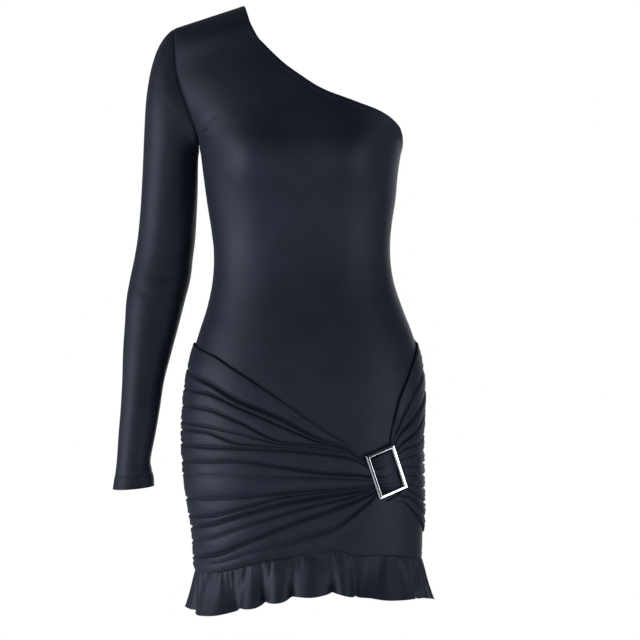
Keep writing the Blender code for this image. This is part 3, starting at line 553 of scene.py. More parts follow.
def bump_node(tree, texture, spot, strength, distance):
    """The relief of a texture."""
    bump = add_node(tree, "ShaderNodeBump", spot, {"Strength": strength, "Distance": distance})
    wire(tree, (texture, "Fac", bump, "Height"))
    return bump


def drifting_tone(tree, place, surface, scale, dark, light, height):
    """A base colour that drifts between two."""
    noise = noise_node(tree, place, height, scale, 3.0)
    ramp = add_node(tree, "ShaderNodeValToRGB", (-350, height))
    for element, position, colour in zip(ramp.color_ramp.elements, (0.35, 0.65), (dark, light)):
        element.position = position
        element.color = (*linear(colour), 1)
    wire(tree, (noise, "Fac", ramp, "Fac"), (ramp, "Color", surface, "Base Color"))


def patchy_roughness(tree, place, surface, scale, detail, low, high):
    """A roughness that differs a little from patch to patch."""
    patches = noise_node(tree, place, 0, scale, detail)
    rough = add_node(tree, "ShaderNodeMapRange", (-350, 0), {"To Min": low, "To Max": high})
    wire(tree, (patches, "Fac", rough, "Value"), (rough, "Result", surface, "Roughness"))


def jersey():
    """Navy-black nylon and elastane jersey with a satin face."""
    found = bpy.data.materials.get("nylon jersey")
    if found:
        return found
    made, tree, surface, place = new_material("nylon jersey")
    drifting_tone(tree, place, surface, 28.0, "#191f2b", "#1e2430", 300)
    patchy_roughness(tree, place, surface, 60.0, 2.0, 0.50, 0.58)
    # wales 0.6 mm apart, then the fuzz of single loops
    wales = add_node(tree, "ShaderNodeTexWave", (-600, -300), {"Scale": 524.0, "Distortion": 1.5})
    loops = noise_node(tree, place, -550, 1600.0, 2.0)
    knit = bump_node(tree, wales, (-350, -300), 0.25, 0.00008)
    fuzz = bump_node(tree, loops, (-100, -450), 0.30, 0.00010)
    wire(
        tree,
        (place, "UV", wales, "Vector"),
        (knit, "Normal", fuzz, "Normal"),
        (fuzz, "Normal", surface, "Normal"),
    )
    surface.inputs["Specular IOR Level"].default_value = 0.32
    surface.inputs["Specular Tint"].default_value = (*linear("#e2e9f6"), 1)
    surface.inputs["Sheen Weight"].default_value = 0.08
    surface.inputs["Sheen Roughness"].default_value = 0.45
    surface.inputs["Sheen Tint"].default_value = (*linear("#b4c4dc"), 1)
    return made


def thread():
    """Polyester sewing thread, a shade lighter than the jersey."""
    found = bpy.data.materials.get("polyester thread")
    if found:
        return found
    made, tree, surface, place = new_material("polyester thread")
    drifting_tone(tree, place, surface, 400.0, "#1d222c", "#2a303c", 200)
    twist = noise_node(tree, place, -200, 2500.0, 1.0)
    ply = bump_node(tree, twist, (-100, -200), 0.4, 0.00005)
    wire(tree, (ply, "Normal", surface, "Normal"))
    surface.inputs["Roughness"].default_value = 0.6
    surface.inputs["Sheen Weight"].default_value = 0.1
    return made


def chrome():
    """Polished chrome plate over cast zinc."""
    found = bpy.data.materials.get("chrome plate")
    if found:
        return found
    made, tree, surface, place = new_material("chrome plate")
    surface.inputs["Base Color"].default_value = (*linear("#e4e6e9"), 1)
    surface.inputs["Metallic"].default_value = 1.0
    # handling has dulled it slightly in patches
    patchy_roughness(tree, place, surface, 180.0, 4.0, 0.03, 0.10)
    ripple = noise_node(tree, place, -300, 90.0, 1.0)
    cast = bump_node(tree, ripple, (-100, -300), 0.15, 0.0002)
    wire(tree, (cast, "Normal", surface, "Normal"))
    return made


def paint():
    """Matt white paint on the studio floor."""
    made, tree, surface, place = new_material("matt white paint")
    drifting_tone(tree, place, surface, 3.0, "#f4f4f4", "#fafafa", 200)
    surface.inputs["Roughness"].default_value = 0.85
    return made


def link(name, mesh):
    piece = bpy.data.objects.new(name, mesh)
    bpy.context.scene.collection.objects.link(piece)
    return piece


def plain_mesh(piece, name):
    """The piece with its modifiers worked into its mesh."""
    graph = bpy.context.evaluated_depsgraph_get()
    mesh = bpy.data.meshes.new_from_object(piece.evaluated_get(graph))
    old = piece.data
    piece.modifiers.clear()
    piece.data = mesh
    mesh.name = name
    bpy.data.meshes.remove(old)
    return piece


def cloth(name, points, tube=False, flip=False):
    """A grid of points on the cloth's face, given its wall inwards and UVs in metres."""
    rows, columns = points.shape[:2]
    index = np.arange(rows * columns).reshape(rows, columns)
    run = np.concatenate([points, points[:, :1]], 1) if tube else points
    if tube:
        index = np.concatenate([index, index[:, :1]], 1)
    u = run_length(run, 1).mean(0)
    v = run_length(run, 0).mean(1)
    places = np.stack(np.broadcast_arrays(u[None, :], v[:, None]), -1)
    corners = ((0, 0), (0, 1), (1, 1), (1, 0))
    if flip:
        corners = corners[::-1]
    last_row = index.shape[0] - 1
    last_column = index.shape[1] - 1
    faces = []
    coordinates = []
    for down, right in corners:
        window = (slice(down, last_row + down), slice(right, last_column + right))
        faces.append(index[window])
        coordinates.append(places[window])
    mesh = bpy.data.meshes.new(name)
    mesh.from_pydata(points.reshape(-1, 3).tolist(), [], np.stack(faces, -1).reshape(-1, 4).tolist())
    layer = mesh.uv_layers.new(name="cloth")
    layer.data.foreach_set("uv", np.stack(coordinates, 2).reshape(-1))
    mesh.shade_smooth()
    mesh.materials.append(jersey())
    piece = link(name, mesh)
    wall = piece.modifiers.new("Wall", "SOLIDIFY")
    wall.thickness = WALL
    wall.offset = -1.0
    return plain_mesh(piece, name)


def finish_cloth(piece, node):
    """Attaches one cut piece to the root body and hides the solid that it replaces."""
    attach(piece, "root")
    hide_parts(node)


def surface_normals(points, tube=False):
    """Normals of a grid, from its columns and its rows."""
    down = np.gradient(points, axis=0)
    if tube:
        along = (np.roll(points, -1, 1) - np.roll(points, 1, 1)) / 2
    else:
        along = np.gradient(points, axis=1)
    normal = np.cross(along, down)
    return normal / np.linalg.norm(normal, axis=-1, keepdims=True)


def armhole_path(count):
    """Degrees across and levels at equal steps up the armhole, armpit first."""
    places = through(ARMHOLE, np.linspace(0, len(ARMHOLE) - 1, count))
    places[0, 0] = -SIDE
    places[-1, 1] = SEAM_TOP
    return places


def neck_path(count):
    """The same up the neckline, underarm first."""
    places = through(NECKLINE, np.linspace(0, len(NECKLINE) - 1, count))
    places[0, 0] = SIDE
    places[-1, 1] = SEAM_TOP
    return places


def wrap_cover(across, level):
    """1 where a wrap lies over the front, 0 where the front shows."""
    wide_share = (across + 90) / (WIDE_END[0] + 90)
    wide_top = smooth_through(STATIONS, WIDE_FOLDS[0].levels, wide_share)
    wide_low = smooth_through(STATIONS, WIDE_FOLDS[-1].levels, wide_share)
    narrow_top = through(NARROW_FOLDS[0].path, np.linspace(1, 4, 40))
    narrow_low = through(NARROW_FOLDS[-1].path, np.linspace(0, 4, 40))
    top = np.where(across < 47, wide_top, np.interp(across, narrow_top[:, 0], narrow_top[:, 1]))
    low = np.where(across < 43, wide_low, np.interp(across, narrow_low[:, 0], narrow_low[:, 1]))
    return ease((top - 0.15 - level) / 0.35) * ease((level - low - 0.12) / 0.30)


def panel(name, back):
    """The front or the back, with its hems, seams and soft creases."""
    even = np.linspace(0, 1, PANEL_COLUMNS + 1)
    # columns close up towards both edges, where the seams are
    along = even - 0.8 * np.sin(2 * math.pi * even) / (2 * math.pi)
    across = -SIDE + 2 * SIDE * along
    rise = np.linspace(0, 1, SKIRT_ROWS + 1)
    rise = (rise + rise**2) / 2
    hem = hem_level(across, back)
    top = ARMHOLE[0].level + (NECKLINE[0].level - ARMHOLE[0].level) * along
    levels = hem + (top - hem) * rise[:, None]
    skirt = np.stack([np.broadcast_to(across, levels.shape), levels], -1)
    arm = armhole_path(YOKE_ROWS + 1)
    neck = neck_path(YOKE_ROWS + 1)
    yoke = arm[:, None] + (neck[:, None] - arm[:, None]) * along[None, :, None]
    places = np.concatenate([skirt, yoke[1:]])
    flat = off_figure(places[..., 0], places[..., 1], np.full(places.shape[:2], PANEL_OUT), back)
    neckline = flat[SKIRT_ROWS:, -1]
    armhole = flat[SKIRT_ROWS:, 0]
    from_neck, _ = distance_to(flat, neckline)
    from_arm, along_arm = distance_to(flat, armhole)
    from_hem = run_length(flat, 0)
    right_side, _ = distance_to(flat, flat[:SKIRT_ROWS + 1:4, 0])
    left_side, _ = distance_to(flat, flat[:SKIRT_ROWS + 1:4, -1])
    shoulder, _ = distance_to(flat, flat[-1, ::10])
    relief = NECK_HEM_RISE * ease((NECK_HEM + 0.0006 - from_neck) / 0.0012)
    relief += groove(from_neck - NECK_HEM, *NECK_STITCHING)
    relief += groove(from_neck, *NECK_EDGE)
    pucker = 0.5 + 0.5 * value_noise(along_arm * 22, np.zeros_like(along_arm), 3)
    relief += groove(from_arm, 0.0006 + 0.0005 * pucker, SLEEVE_SEAM[1])
    for seam in (right_side, left_side, shoulder):
        relief += groove(seam, *PANEL_SEAM)
    relief += groove(from_hem - BAND_HEIGHT, *BAND_STITCHING)
    relief += groove(from_hem, *RUFFLE_SEAM)
    relief += seen_creases(flat, BACK_CREASES if back else FRONT_CREASES)
    # the jersey lies in long, very shallow swells
    relief += 0.0004 * value_noise(flat[..., 0] * 14 + 20, flat[..., 2] * 20 + 40, 11 + back)
    out = PANEL_OUT + relief
    if not back:
        cover = wrap_cover(places[..., 0], places[..., 1])
        out = out * (1 - cover) + PANEL_UNDER_WRAP * cover
    points = off_figure(places[..., 0], places[..., 1], out, back)
    # the two halves meet at the shoulder seam, which lies at the origin's depth
    points[-1, :, 1] = SEAM_SLIT if back else -SEAM_SLIT
    return cloth(name, points, flip=back)


def sleeve():
    """A tube through its sections, from the armhole's own shape to the turned cuff."""
    even = np.linspace(0, 1, SLEEVE_ROWS + 1)
    share = even - 0.75 * np.sin(2 * math.pi * even) / (2 * math.pi)
    rings = through(SLEEVE, share * (len(SLEEVE) - 1)) * MILLIMETRE
    turns = np.arange(SLEEVE_AROUND) * 2 * math.pi / SLEEVE_AROUND
    half = armhole_path(SLEEVE_AROUND // 2 + 1)[::-1]
    out = np.full(len(half), PANEL_OUT)
    front = off_figure(half[:, 0], half[:, 1], out)
    rear = off_figure(half[:, 0], half[:, 1], out, back=True)
    front[0] = rear[0] = (front[0] + rear[0]) / 2
    front[-1] = rear[-1] = (front[-1] + rear[-1]) / 2
    armhole = np.concatenate([front, rear[-2:0:-1]])
    outer = np.stack([rings[:, 0], rings[:, 5], rings[:, 1]], -1)
    inner = np.stack([rings[:, 2], rings[:, 5], rings[:, 3]], -1)
    middle = (outer + inner) / 2
    forward = np.stack([np.zeros(len(rings)), rings[:, 4], np.zeros(len(rings))], -1)
    points = middle[:, None] + np.cos(turns)[None, :, None] * (outer - middle)[:, None]
    points = points - np.sin(turns)[None, :, None] * forward[:, None]
    fade = ease(1 - share / ARMHOLE_FADE)
    points = points + (armhole - points[0])[None] * fade[:, None, None]
    normals = -surface_normals(points, tube=True)
    from_arm = run_length(points, 0)
    to_cuff = from_arm[-1] - from_arm
    in_front = ease(np.sin(turns) * 1.6 + 0.2)[None, :]
    behind = ease(-np.sin(turns) * 1.6 + 0.2)[None, :]
    relief = seen_creases(points, SLEEVE_CREASES) * in_front * 0.6
    shifted = points + np.array([0.006, 0, 0.014])
    relief += seen_creases(shifted, SLEEVE_CREASES) * behind * 0.8
    relief += groove(from_arm, *SLEEVE_SEAM)
    relief += 0.0004 * ease((CUFF_HEM - to_cuff) / 0.0012)
    for row in range(2):
        relief += groove(to_cuff - CUFF_HEM + row * CUFF_ROWS_APART, *CUFF_STITCHING)
    lengthwise = points[..., 2] * 16
    relief += 0.0003 * value_noise(3 * np.sin(turns)[None] + 8 + 0 * lengthwise, lengthwise + 40, 21)
    return cloth("sleeve_cloth", points + normals * relief[..., None], tube=True, flip=True)


def wrap_rows(lines, dips, puffs, steps):
    """The rows of a wrap, and each row's place counted in folds.

    Rows close up towards each valley, and the cloth between two is puffed."""
    places = []
    rises = []
    bands = []
    for index in range(len(lines) - 1):
        for step in range(steps):
            even = step / steps
            t = even - 0.72 * math.sin(2 * math.pi * even) / (2 * math.pi)
            places.append(lines[index] * (1 - t) + lines[index + 1] * t)
            swell = puffs[index] * math.sin(math.pi * t) ** 0.85
            rises.append(dips[index] * (1 - t) + dips[index + 1] * t + swell)
            bands.append(index + t)
    places.append(lines[-1])
    rises.append(dips[-1])
    bands.append(len(lines) - 1.0)
    return np.array(places), np.array(rises) * MILLIMETRE, np.array(bands)


def fold_creases(down, bands, folds, along, stations):
    """The sharp valley at the bottom of each named fold."""
    relief = np.zeros_like(down)
    for index, fold in enumerate(folds):
        row = np.argmin(np.abs(bands - index))
        depth = smooth_through(stations, fold.crease, along) * MILLIMETRE
        relief += depth * trough(down - down[row], fold.width * MILLIMETRE)
    return relief


def pull_lines(down, bands, along, seed, count, reach, depth, width, end):
    """Fine gathers that run in from one end of a wrap, uneven in every way."""
    rolls = np.random.RandomState(seed)
    relief = np.zeros_like(down)
    last = bands[-1]
    for index in range(count):
        start = (index + 0.5 + rolls.uniform(-0.45, 0.45)) * last / count
        drift = rolls.uniform(-0.45, 0.45)
        length = rolls.uniform(*reach)
        sink = rolls.uniform(*depth) * MILLIMETRE
        wide = rolls.uniform(*width) * MILLIMETRE
        share = np.abs(along - end) / length
        fade = ease(1 - share)
        centres = np.clip(start + drift * share, 0, last)
        columns = np.flatnonzero(fade > 0)
        for column in columns:
            middle = np.interp(centres[column], bands, down[:, column])
            relief[:, column] += sink * fade[column] * trough(down[:, column] - middle, wide)
    return relief


def round_edges(down, radius):
    """The cloth turned over along the top and the bottom edge of a wrap."""
    inset = np.minimum(down, down[-1] - down)
    t = np.clip(1 - inset / radius, 0, 1)
    return -radius * (1 - np.sqrt(1 - t**2 * 0.95))


def in_buckle(points):
    """Points measured in the buckle's own axes."""
    turned = np.array(buckle_place().inverted())
    return points @ turned[:3, :3].T + turned[:3, 3]


def sewn_down(out, degrees_from_seam):
    """A wrap's height, brought down to the panel where the side seam holds it."""
    free = ease((degrees_from_seam + 0.2) / SEWN_REACH)
    return out * free + SEWN_OUT * (1 - free)


def wide_wrap(depth, seed):
    even = np.linspace(0, 1, WIDE_COLUMNS + 1)
    along = even - 0.35 * np.sin(math.pi * even) / math.pi
    along /= along[-1]
    count = len(WIDE_FOLDS) - 1
    lines = []
    for index, fold in enumerate(WIDE_FOLDS):
        end = WIDE_END[0] + (WIDE_END[1] - WIDE_END[0]) * index / count
        across = -SIDE + along * (end + SIDE)
        levels = smooth_through(STATIONS, fold.levels, along)
        levels = levels + OPENING_SPREAD * ease((along - 0.90) / 0.10) * (levels - OPENING_LEVEL)
        lines.append(np.stack([across, levels], -1))
    dips = [smooth_through(HEIGHT_STATIONS, fold.dip, along) for fold in WIDE_FOLDS]
    # the cloth lies flatter where the seam gathers it, and over the buckle's bar
    fill = (0.40 + 0.85 * ease(along / 0.35)) * (1 - 0.7 * ease((along - 0.90) / 0.07))
    puffs = [fill * smooth_through(HEIGHT_STATIONS, fold.puff, along) for fold in WIDE_FOLDS]
    places, rises, bands = wrap_rows(lines, dips, puffs, WIDE_STEPS)
    down = run_length(figure(places[..., 0], places[..., 1]), 0)
    relief = fold_creases(down, bands, WIDE_FOLDS, along, HEIGHT_STATIONS)
    # hooks and scallops at the side seam, long fine pulls, then pulls into the buckle
    relief += pull_lines(down, bands, along, seed, 44, (0.03, 0.12), (0.6, 1.4), (1.0, 1.7), 0)
    relief += pull_lines(down, bands, along, seed + 1, 16, (0.25, 0.60), (0.2, 0.6), (1.4, 2.6), 0)
    relief += pull_lines(down, bands, along, seed + 2, 9, (0.20, 0.50), (0.2, 0.5), (0.9, 1.6), 1)
    relief += 0.00025 * value_noise(along[None] * 9 + 0 * down, down * 130, seed + 3)
    crown_at = BUCKLE_ACROSS + (BUCKLE_LEVEL - places[..., 1]) * BAR_LEAN
    crown = CROWN_RISE * np.exp(-(((places[..., 0] - crown_at) / CROWN_SPREAD) ** 4))
    # the cloth dives under the frame's top and bottom bars
    up_frame = in_buckle(figure(places[..., 0], places[..., 1]))[..., 1]
    crown *= ease((BUCKLE_LENGTH / 2 - BUCKLE_BAR + 0.0017 - np.abs(up_frame)) / 0.0040)
    calm = 1 - 0.8 * ease((along - 0.90) / 0.06)
    out = WRAP_OUT + crown + rises + depth * relief * calm + round_edges(down, WIDE_TURN)
    out = sewn_down(np.maximum(out, LOWEST_OUT), places[..., 0] + SIDE)
    points = off_figure(places[..., 0], places[..., 1], out)
    return cloth("wide_wrap_cloth", points[::-1])


def narrow_wrap(depth, seed):
    even = np.linspace(0, 4, NARROW_COLUMNS + 1)
    lines = [through(fold.path, even) for fold in NARROW_FOLDS]
    for line in lines:
        line[-1, 0] = SIDE
    stations = (0, 2, 4)
    dips = [smooth_through(stations, fold.dip, even) for fold in NARROW_FOLDS]
    puffs = [smooth_through(stations, fold.puff, even) for fold in NARROW_FOLDS]
    places, rises, bands = wrap_rows(lines, dips, puffs, NARROW_STEPS)
    down = run_length(figure(places[..., 0], places[..., 1]), 0)
    relief = fold_creases(down, bands, NARROW_FOLDS, even, stations)
    along = even / 4
    relief += pull_lines(down, bands, along, seed + 4, 30, (0.15, 0.45), (0.8, 1.6), (1.0, 1.7), 1)
    relief += pull_lines(down, bands, along, seed + 5, 12, (0.4, 0.8), (0.2, 0.6), (1.2, 2.2), 1)
    relief += 0.0002 * value_noise(along[None] * 5 + 0 * down, down * 140, seed + 6)
    out = WRAP_OUT + rises + depth * relief + round_edges(down, NARROW_TURN)
    out = sewn_down(np.maximum(out, LOWEST_OUT), SIDE - places[..., 0])
    points = off_figure(places[..., 0], places[..., 1], out)
    return cloth("narrow_wrap_cloth", points[::-1])


def wave_shape(waves, across):
    """Each place's reach at the hem, its lean to the next trough, and 0 to 1 from trough to crest."""
    stops = []
    reaches = []
    for wave in waves:
        stops += [wave.crest, wave.trough]
        reaches += [wave.out, wave.inward]
    stops.append(90.0)
    reaches.append(LAST_CREST)
    stops = np.array(stops)
    reaches = np.array(reaches) * MILLIMETRE
    cell = np.clip(np.searchsorted(stops, across, side="right") - 1, 0, len(stops) - 2)
    span = stops[cell + 1] - stops[cell]
    t = (across - stops[cell]) / span
    turn = (1 - np.cos(math.pi * t)) / 2
    away = np.where(cell % 2 == 0, 1.0, -1.0)
    reach = reaches[cell] + (reaches[cell + 1] - reaches[cell]) * turn
    return reach, away * span * np.sin(math.pi * t), np.where(cell % 2 == 0, 1 - turn, turn)


def ruffle(name, waves, back, lean, seed):
    """A gathered frill: small pleats at its seam that join into deep waves at the hem."""
    across = np.linspace(-SIDE, SIDE, RUFFLE_COLUMNS + 1)
    hem = hem_level(across, back)
    top = off_figure(across, hem, np.full(len(across), PANEL_OUT - RUFFLE_TUCK), back)
    top[:, 2] += RUFFLE_LAP
    out = outward(across, hem, back)
    out[:, 2] = 0
    out /= np.linalg.norm(out, axis=1, keepdims=True)
    aside = np.gradient(top, axis=0)
    aside[:, 2] = 0
    per_degree = np.linalg.norm(aside, axis=1) / (across[1] - across[0])
    aside /= np.linalg.norm(aside, axis=1, keepdims=True)
    reach, side, crest = wave_shape(waves, across)
    # gathers and flutes of uneven spacing, some short and some reaching far down
    still = np.zeros_like(across)
    ends = ease((SIDE - np.abs(across)) / 1.5)
    gather = ends * value_noise(across / 1.75 + 80, still, seed)
    reach_down = 0.30 + 0.22 * value_noise(across / 3.5 + 80, still + 3, seed + 1)
    flute = ends * value_noise(across / 4.2 + 80, still + 6, seed + 2)
    rows = []
    for step in range(RUFFLE_ROWS + 1):
        down = 1 - (1 - step / RUFFLE_ROWS) ** 1.15
        start = ease(down / 0.10)
        stand = reach * down**RUFFLE_FLARE
        stand = stand + GATHER_RISE * start * gather * np.exp(-((down / reach_down) ** 2))
        stand = stand + FLUTE_RISE * ease(down / 0.35) * (1 - 0.55 * down) * flute
        stand = stand + RUFFLE_STAND * math.sqrt(down)
        shift = lean * ends * side * per_degree * down**1.3
        fall = RUFFLE_LENGTH * down - HEM_LIFT * (1 - crest) * down**3
        hem_wave = HEM_WAVE * ends * value_noise(across / 6 + 40, still + 9, seed + 3) * down**2
        row = top + out * stand[:, None] + aside * shift[:, None]
        row[:, 2] -= fall + hem_wave
        rows.append(row)
    points = np.array(rows)
    seam_depth = FIGURE_DEPTH + (SEAM_SLIT if back else -SEAM_SLIT)
    points[:, :, 1] = points[:, :, 1] * ends + (1 - ends) * seam_depth
    piece = cloth(name, points[::-1], flip=back)
    return piece, points[-1]


def tube_mesh(name, lines, radius, material, sides=6):
    """Round cords along lines of points, as one mesh."""
    shape = bmesh.new()
    for line in lines:
        tangents = np.gradient(line, axis=0)
        tangents /= np.linalg.norm(tangents, axis=1, keepdims=True)
        rings = []
        for point, tangent in zip(line, tangents):
            side = Vector(tangent).cross(Vector((0, 0, 1))).normalized()
            lift = side.cross(Vector(tangent))
            ring = []
            for corner in range(sides):
                turn = 2 * math.pi * corner / sides
                place = Vector(point) + radius * (side * math.cos(turn) + lift * math.sin(turn))
                ring.append(shape.verts.new(place))
            rings.append(ring)
        for first, second in zip(rings, rings[1:]):
            for corner in range(sides):
                after = (corner + 1) % sides
                shape.faces.new((first[corner], first[after], second[after], second[corner]))
        shape.faces.new(rings[0][::-1])
        shape.faces.new(rings[-1])
    bmesh.ops.recalc_face_normals(shape, faces=shape.faces)
    mesh = bpy.data.meshes.new(name)
    shape.to_mesh(mesh)
    shape.free()
    mesh.shade_smooth()
    mesh.materials.append(material)
    return link(name, mesh)


def stitch_tree():
    """Geometry nodes that lay a stitch at even steps along every edge line."""
    found = bpy.data.node_groups.get("stitch line")
    if found:
        return found
    tree = bpy.data.node_groups.new("stitch line", "GeometryNodeTree")
    face = tree.interface
    for name, kind in (
        ("Geometry", "Geometry"),
        ("Pitch", "Float"),
        ("Stitch Length", "Float"),
        ("Thread Width", "Float"),
        ("Seed", "Int"),
        ("Material", "Material"),
    ):
        face.new_socket(name, in_out="INPUT", socket_type="NodeSocket" + kind)
    face.new_socket("Geometry", in_out="OUTPUT", socket_type="NodeSocketGeometry")
    given = add_node(tree, "NodeGroupInput", (-900, 0))
    lines = add_node(tree, "GeometryNodeMeshToCurve", (-700, 100))
    steps = add_node(tree, "GeometryNodeResampleCurve", (-500, 100), mode="LENGTH")
    tangent = add_node(tree, "GeometryNodeInputTangent", (-500, -200))
    turn = add_node(tree, "FunctionNodeAlignRotationToVector", (-300, -200), axis="Z")
    radius = add_node(tree, "ShaderNodeMath", (-700, -300), {1: 0.5}, operation="MULTIPLY")
    bead = add_node(
        tree, "GeometryNodeMeshCylinder", (-500, -400), {"Vertices": 6, "Side Segments": 1}
    )
    uneven = add_node(tree, "FunctionNodeRandomValue", (-300, -450), {2: 0.85, 3: 1.15})
    laid = add_node(tree, "GeometryNodeInstanceOnPoints", (-50, 0))
    real = add_node(tree, "GeometryNodeRealizeInstances", (150, 0))
    dressed = add_node(tree, "GeometryNodeSetMaterial", (350, 0))
    result = add_node(tree, "NodeGroupOutput", (550, 0))
    wire(
        tree,
        (given, "Geometry", lines, "Mesh"),
        (lines, "Curve", steps, "Curve"),
        (given, "Pitch", steps, "Length"),
        (tangent, "Tangent", turn, "Vector"),
        (given, "Thread Width", radius, 0),
        (radius, 0, bead, "Radius"),
        (given, "Stitch Length", bead, "Depth"),
        (given, "Seed", uneven, "Seed"),
        (steps, "Curve", laid, "Points"),
        (bead, "Mesh", laid, "Instance"),
        (turn, "Rotation", laid, "Rotation"),
        (uneven, 1, laid, "Scale"),
        (laid, "Instances", real, "Geometry"),
        (real, "Geometry", dressed, "Geometry"),
        (given, "Material", dressed, "Material"),
        (dressed, "Geometry", result, "Geometry"),
    )
    return tree


def stitches(name, lines, settings):
    """Rows of stitches along lines of points."""
    points = []
    edges = []
    for line in lines:
        start = len(points)
        points += [tuple(point) for point in line]
        edges += [(start + step, start + step + 1) for step in range(len(line) - 1)]
    mesh = bpy.data.meshes.new(name)
    mesh.from_pydata(points, edges, [])
    piece = link(name, mesh)
    modifier = piece.modifiers.new("Stitch line", "NODES")
    modifier.node_group = stitch_tree()
    values = {
        "Pitch": settings.stitch_pitch,
        "Stitch Length": settings.stitch_length,
        "Thread Width": settings.thread_width,
        "Seed": settings.seed,
        "Material": thread(),
    }
    for socket in modifier.node_group.interface.items_tree:
        if socket.in_out == "INPUT" and socket.name in values:
            modifier[socket.identifier] = values[socket.name]
    plain_mesh(piece, name)
    piece.data.shade_smooth()
    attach(piece, "root")
    return piece


def seated(line, piece, lift):
    """A line of points brought onto a piece's face, and lifted a little off it."""
    tree = BVHTree.FromPolygons(
        [vertex.co for vertex in piece.data.vertices],
        [polygon.vertices for polygon in piece.data.polygons],
    )
    seats = []
    for point, push in line:
        place, normal, _, _ = tree.find_nearest(Vector(point) + Vector(push) * 0.003)
        seats.append(np.array(place + normal * lift))
    return np.array(seats)


def inset_line(places, back, inset, toward):
    """Points a distance in from an edge of a panel, each with its way out."""
    edge = off_figure(places[:, 0], places[:, 1], np.full(len(places), PANEL_OUT), back)
    normals = outward(places[:, 0], places[:, 1], back)
    tangents = np.gradient(edge, axis=0)
    tangents /= np.linalg.norm(tangents, axis=1, keepdims=True)
    inwards = np.cross(normals, tangents) * toward
    return list(zip(edge + inwards * inset, normals))


def buckle_place():
    """The frame's middle, with its x across, its y up and its z out of the cloth."""
    place = figure(BUCKLE_ACROSS, BUCKLE_LEVEL)
    out = Vector(outward(np.array(BUCKLE_ACROSS), np.array(BUCKLE_LEVEL)))
    side = Vector((0, 0, 1)).cross(out).normalized()
    axes = Matrix((side, out.cross(side), out)).transposed()
    turn = Matrix.Rotation(math.radians(-BUCKLE_TURN), 3, "Y")
    lean = Matrix.Rotation(math.radians(BUCKLE_LEAN), 3, "Z")
    return Matrix.Translation(place) @ (axes @ turn @ lean).to_4x4()


def buckle():
    """A mitred frame with chamfered bars, and the bar that the cloth passes over."""
    shape = bmesh.new()
    loops = []
    for inset, height in BAR_PROFILE:
        half_width = BUCKLE_WIDTH / 2 - inset * MILLIMETRE
        half_length = BUCKLE_LENGTH / 2 - inset * MILLIMETRE
        # the frame is slightly domed, so its outer edge lies lower
        lift = BUCKLE_OFF + height * MILLIMETRE - FRAME_DOME * half_width**2
        corners = ((-1, -1), (1, -1), (1, 1), (-1, 1))
        loops.append([shape.verts.new((x * half_width, y * half_length, lift)) for x, y in corners])
    for first, second in zip(loops, loops[1:] + loops[:1]):
        for corner in range(4):
            after = (corner + 1) % 4
            shape.faces.new((first[corner], first[after], second[after], second[corner]))
    bmesh.ops.recalc_face_normals(shape, faces=shape.faces)
    bmesh.ops.bevel(
        shape, geom=shape.edges[:], offset=0.00022, segments=2, profile=0.6, affect="EDGES"
    )
    bar = bmesh.ops.create_cone(
        shape, cap_ends=True, segments=20, radius1=0.5, radius2=0.5, depth=1.0
    )["verts"]
    size = Matrix.Diagonal((CENTRE_BAR_WIDTH, CENTRE_BAR_THICK, BUCKLE_LENGTH - BUCKLE_BAR, 1))
    upright = Matrix.Rotation(math.radians(90), 4, "X")
    lift = Matrix.Translation((0, 0, CENTRE_BAR_OFF + CENTRE_BAR_THICK / 2))
    bmesh.ops.transform(shape, matrix=lift @ upright @ size, verts=bar)
    bmesh.ops.transform(shape, matrix=buckle_place(), verts=shape.verts)
    mesh = bpy.data.meshes.new("buckle")
    shape.to_mesh(mesh)
    shape.free()
    mesh.materials.append(chrome())
    for polygon in mesh.polygons:
        polygon.use_smooth = False
    return link("buckle_frame", mesh)


def area_light(name, place, aim, size, power, colour):
    light = bpy.data.lights.new(name, "AREA")
    light.shape = "RECTANGLE"
    light.size, light.size_y = size
    light.energy = power
    light.color = linear(colour)
    lamp = link(name, light)
    lamp.location = place
    lamp.rotation_euler = (Vector(aim) - Vector(place)).to_track_quat("-Z", "Y").to_euler()
    return lamp


def studio_world():
    """White behind the dress, and a dimmer room that the cloth is lit by."""
    world = bpy.data.worlds.new("studio")
    bpy.context.scene.world = world
    world.use_nodes = True
    tree = world.node_tree
    tree.nodes.clear()
    output = add_node(tree, "ShaderNodeOutputWorld", (600, 0))
    mix = add_node(tree, "ShaderNodeMixShader", (400, 0))
    path = add_node(tree, "ShaderNodeLightPath", (100, 300))
    white = add_node(tree, "ShaderNodeBackground", (100, -200), {"Color": (1, 1, 1, 1)})
    room = add_node(tree, "ShaderNodeBackground", (100, 0))
    way = add_node(tree, "ShaderNodeTexCoord", (-700, 0))
    parts = add_node(tree, "ShaderNodeSeparateXYZ", (-500, 0))
    # +Y is behind the dress
    behind = add_node(
        tree, "ShaderNodeMapRange", (-250, 100),
        {"From Min": -0.4, "From Max": 0.9, "To Min": 0.07, "To Max": 0.30},
    )
    above = add_node(
        tree, "ShaderNodeMapRange", (-250, -150),
        {"From Min": -0.2, "From Max": 0.8, "To Min": 1.0, "To Max": 0.30},
    )
    product = add_node(tree, "ShaderNodeMath", (-50, 0), operation="MULTIPLY")
    wire(
        tree,
        (way, "Generated", parts, "Vector"),
        (parts, "Y", behind, "Value"),
        (parts, "Z", above, "Value"),
        (behind, "Result", product, 0),
        (above, "Result", product, 1),
        (product, "Value", room, "Strength"),
        (path, "Is Camera Ray", mix, "Fac"),
        (room, "Background", mix, 1),
        (white, "Background", mix, 2),
        (mix, "Shader", output, "Surface"),
    )


def studio_floor():
    shape = bmesh.new()
    bmesh.ops.create_circle(shape, cap_ends=True, segments=96, radius=2.2)
    bmesh.ops.translate(shape, verts=shape.verts, vec=(SEAM_MIDDLE, 0, -1.40))
    mesh = bpy.data.meshes.new("floor")
    shape.to_mesh(mesh)
    shape.free()
    mesh.materials.append(paint())
    return link("floor", mesh)


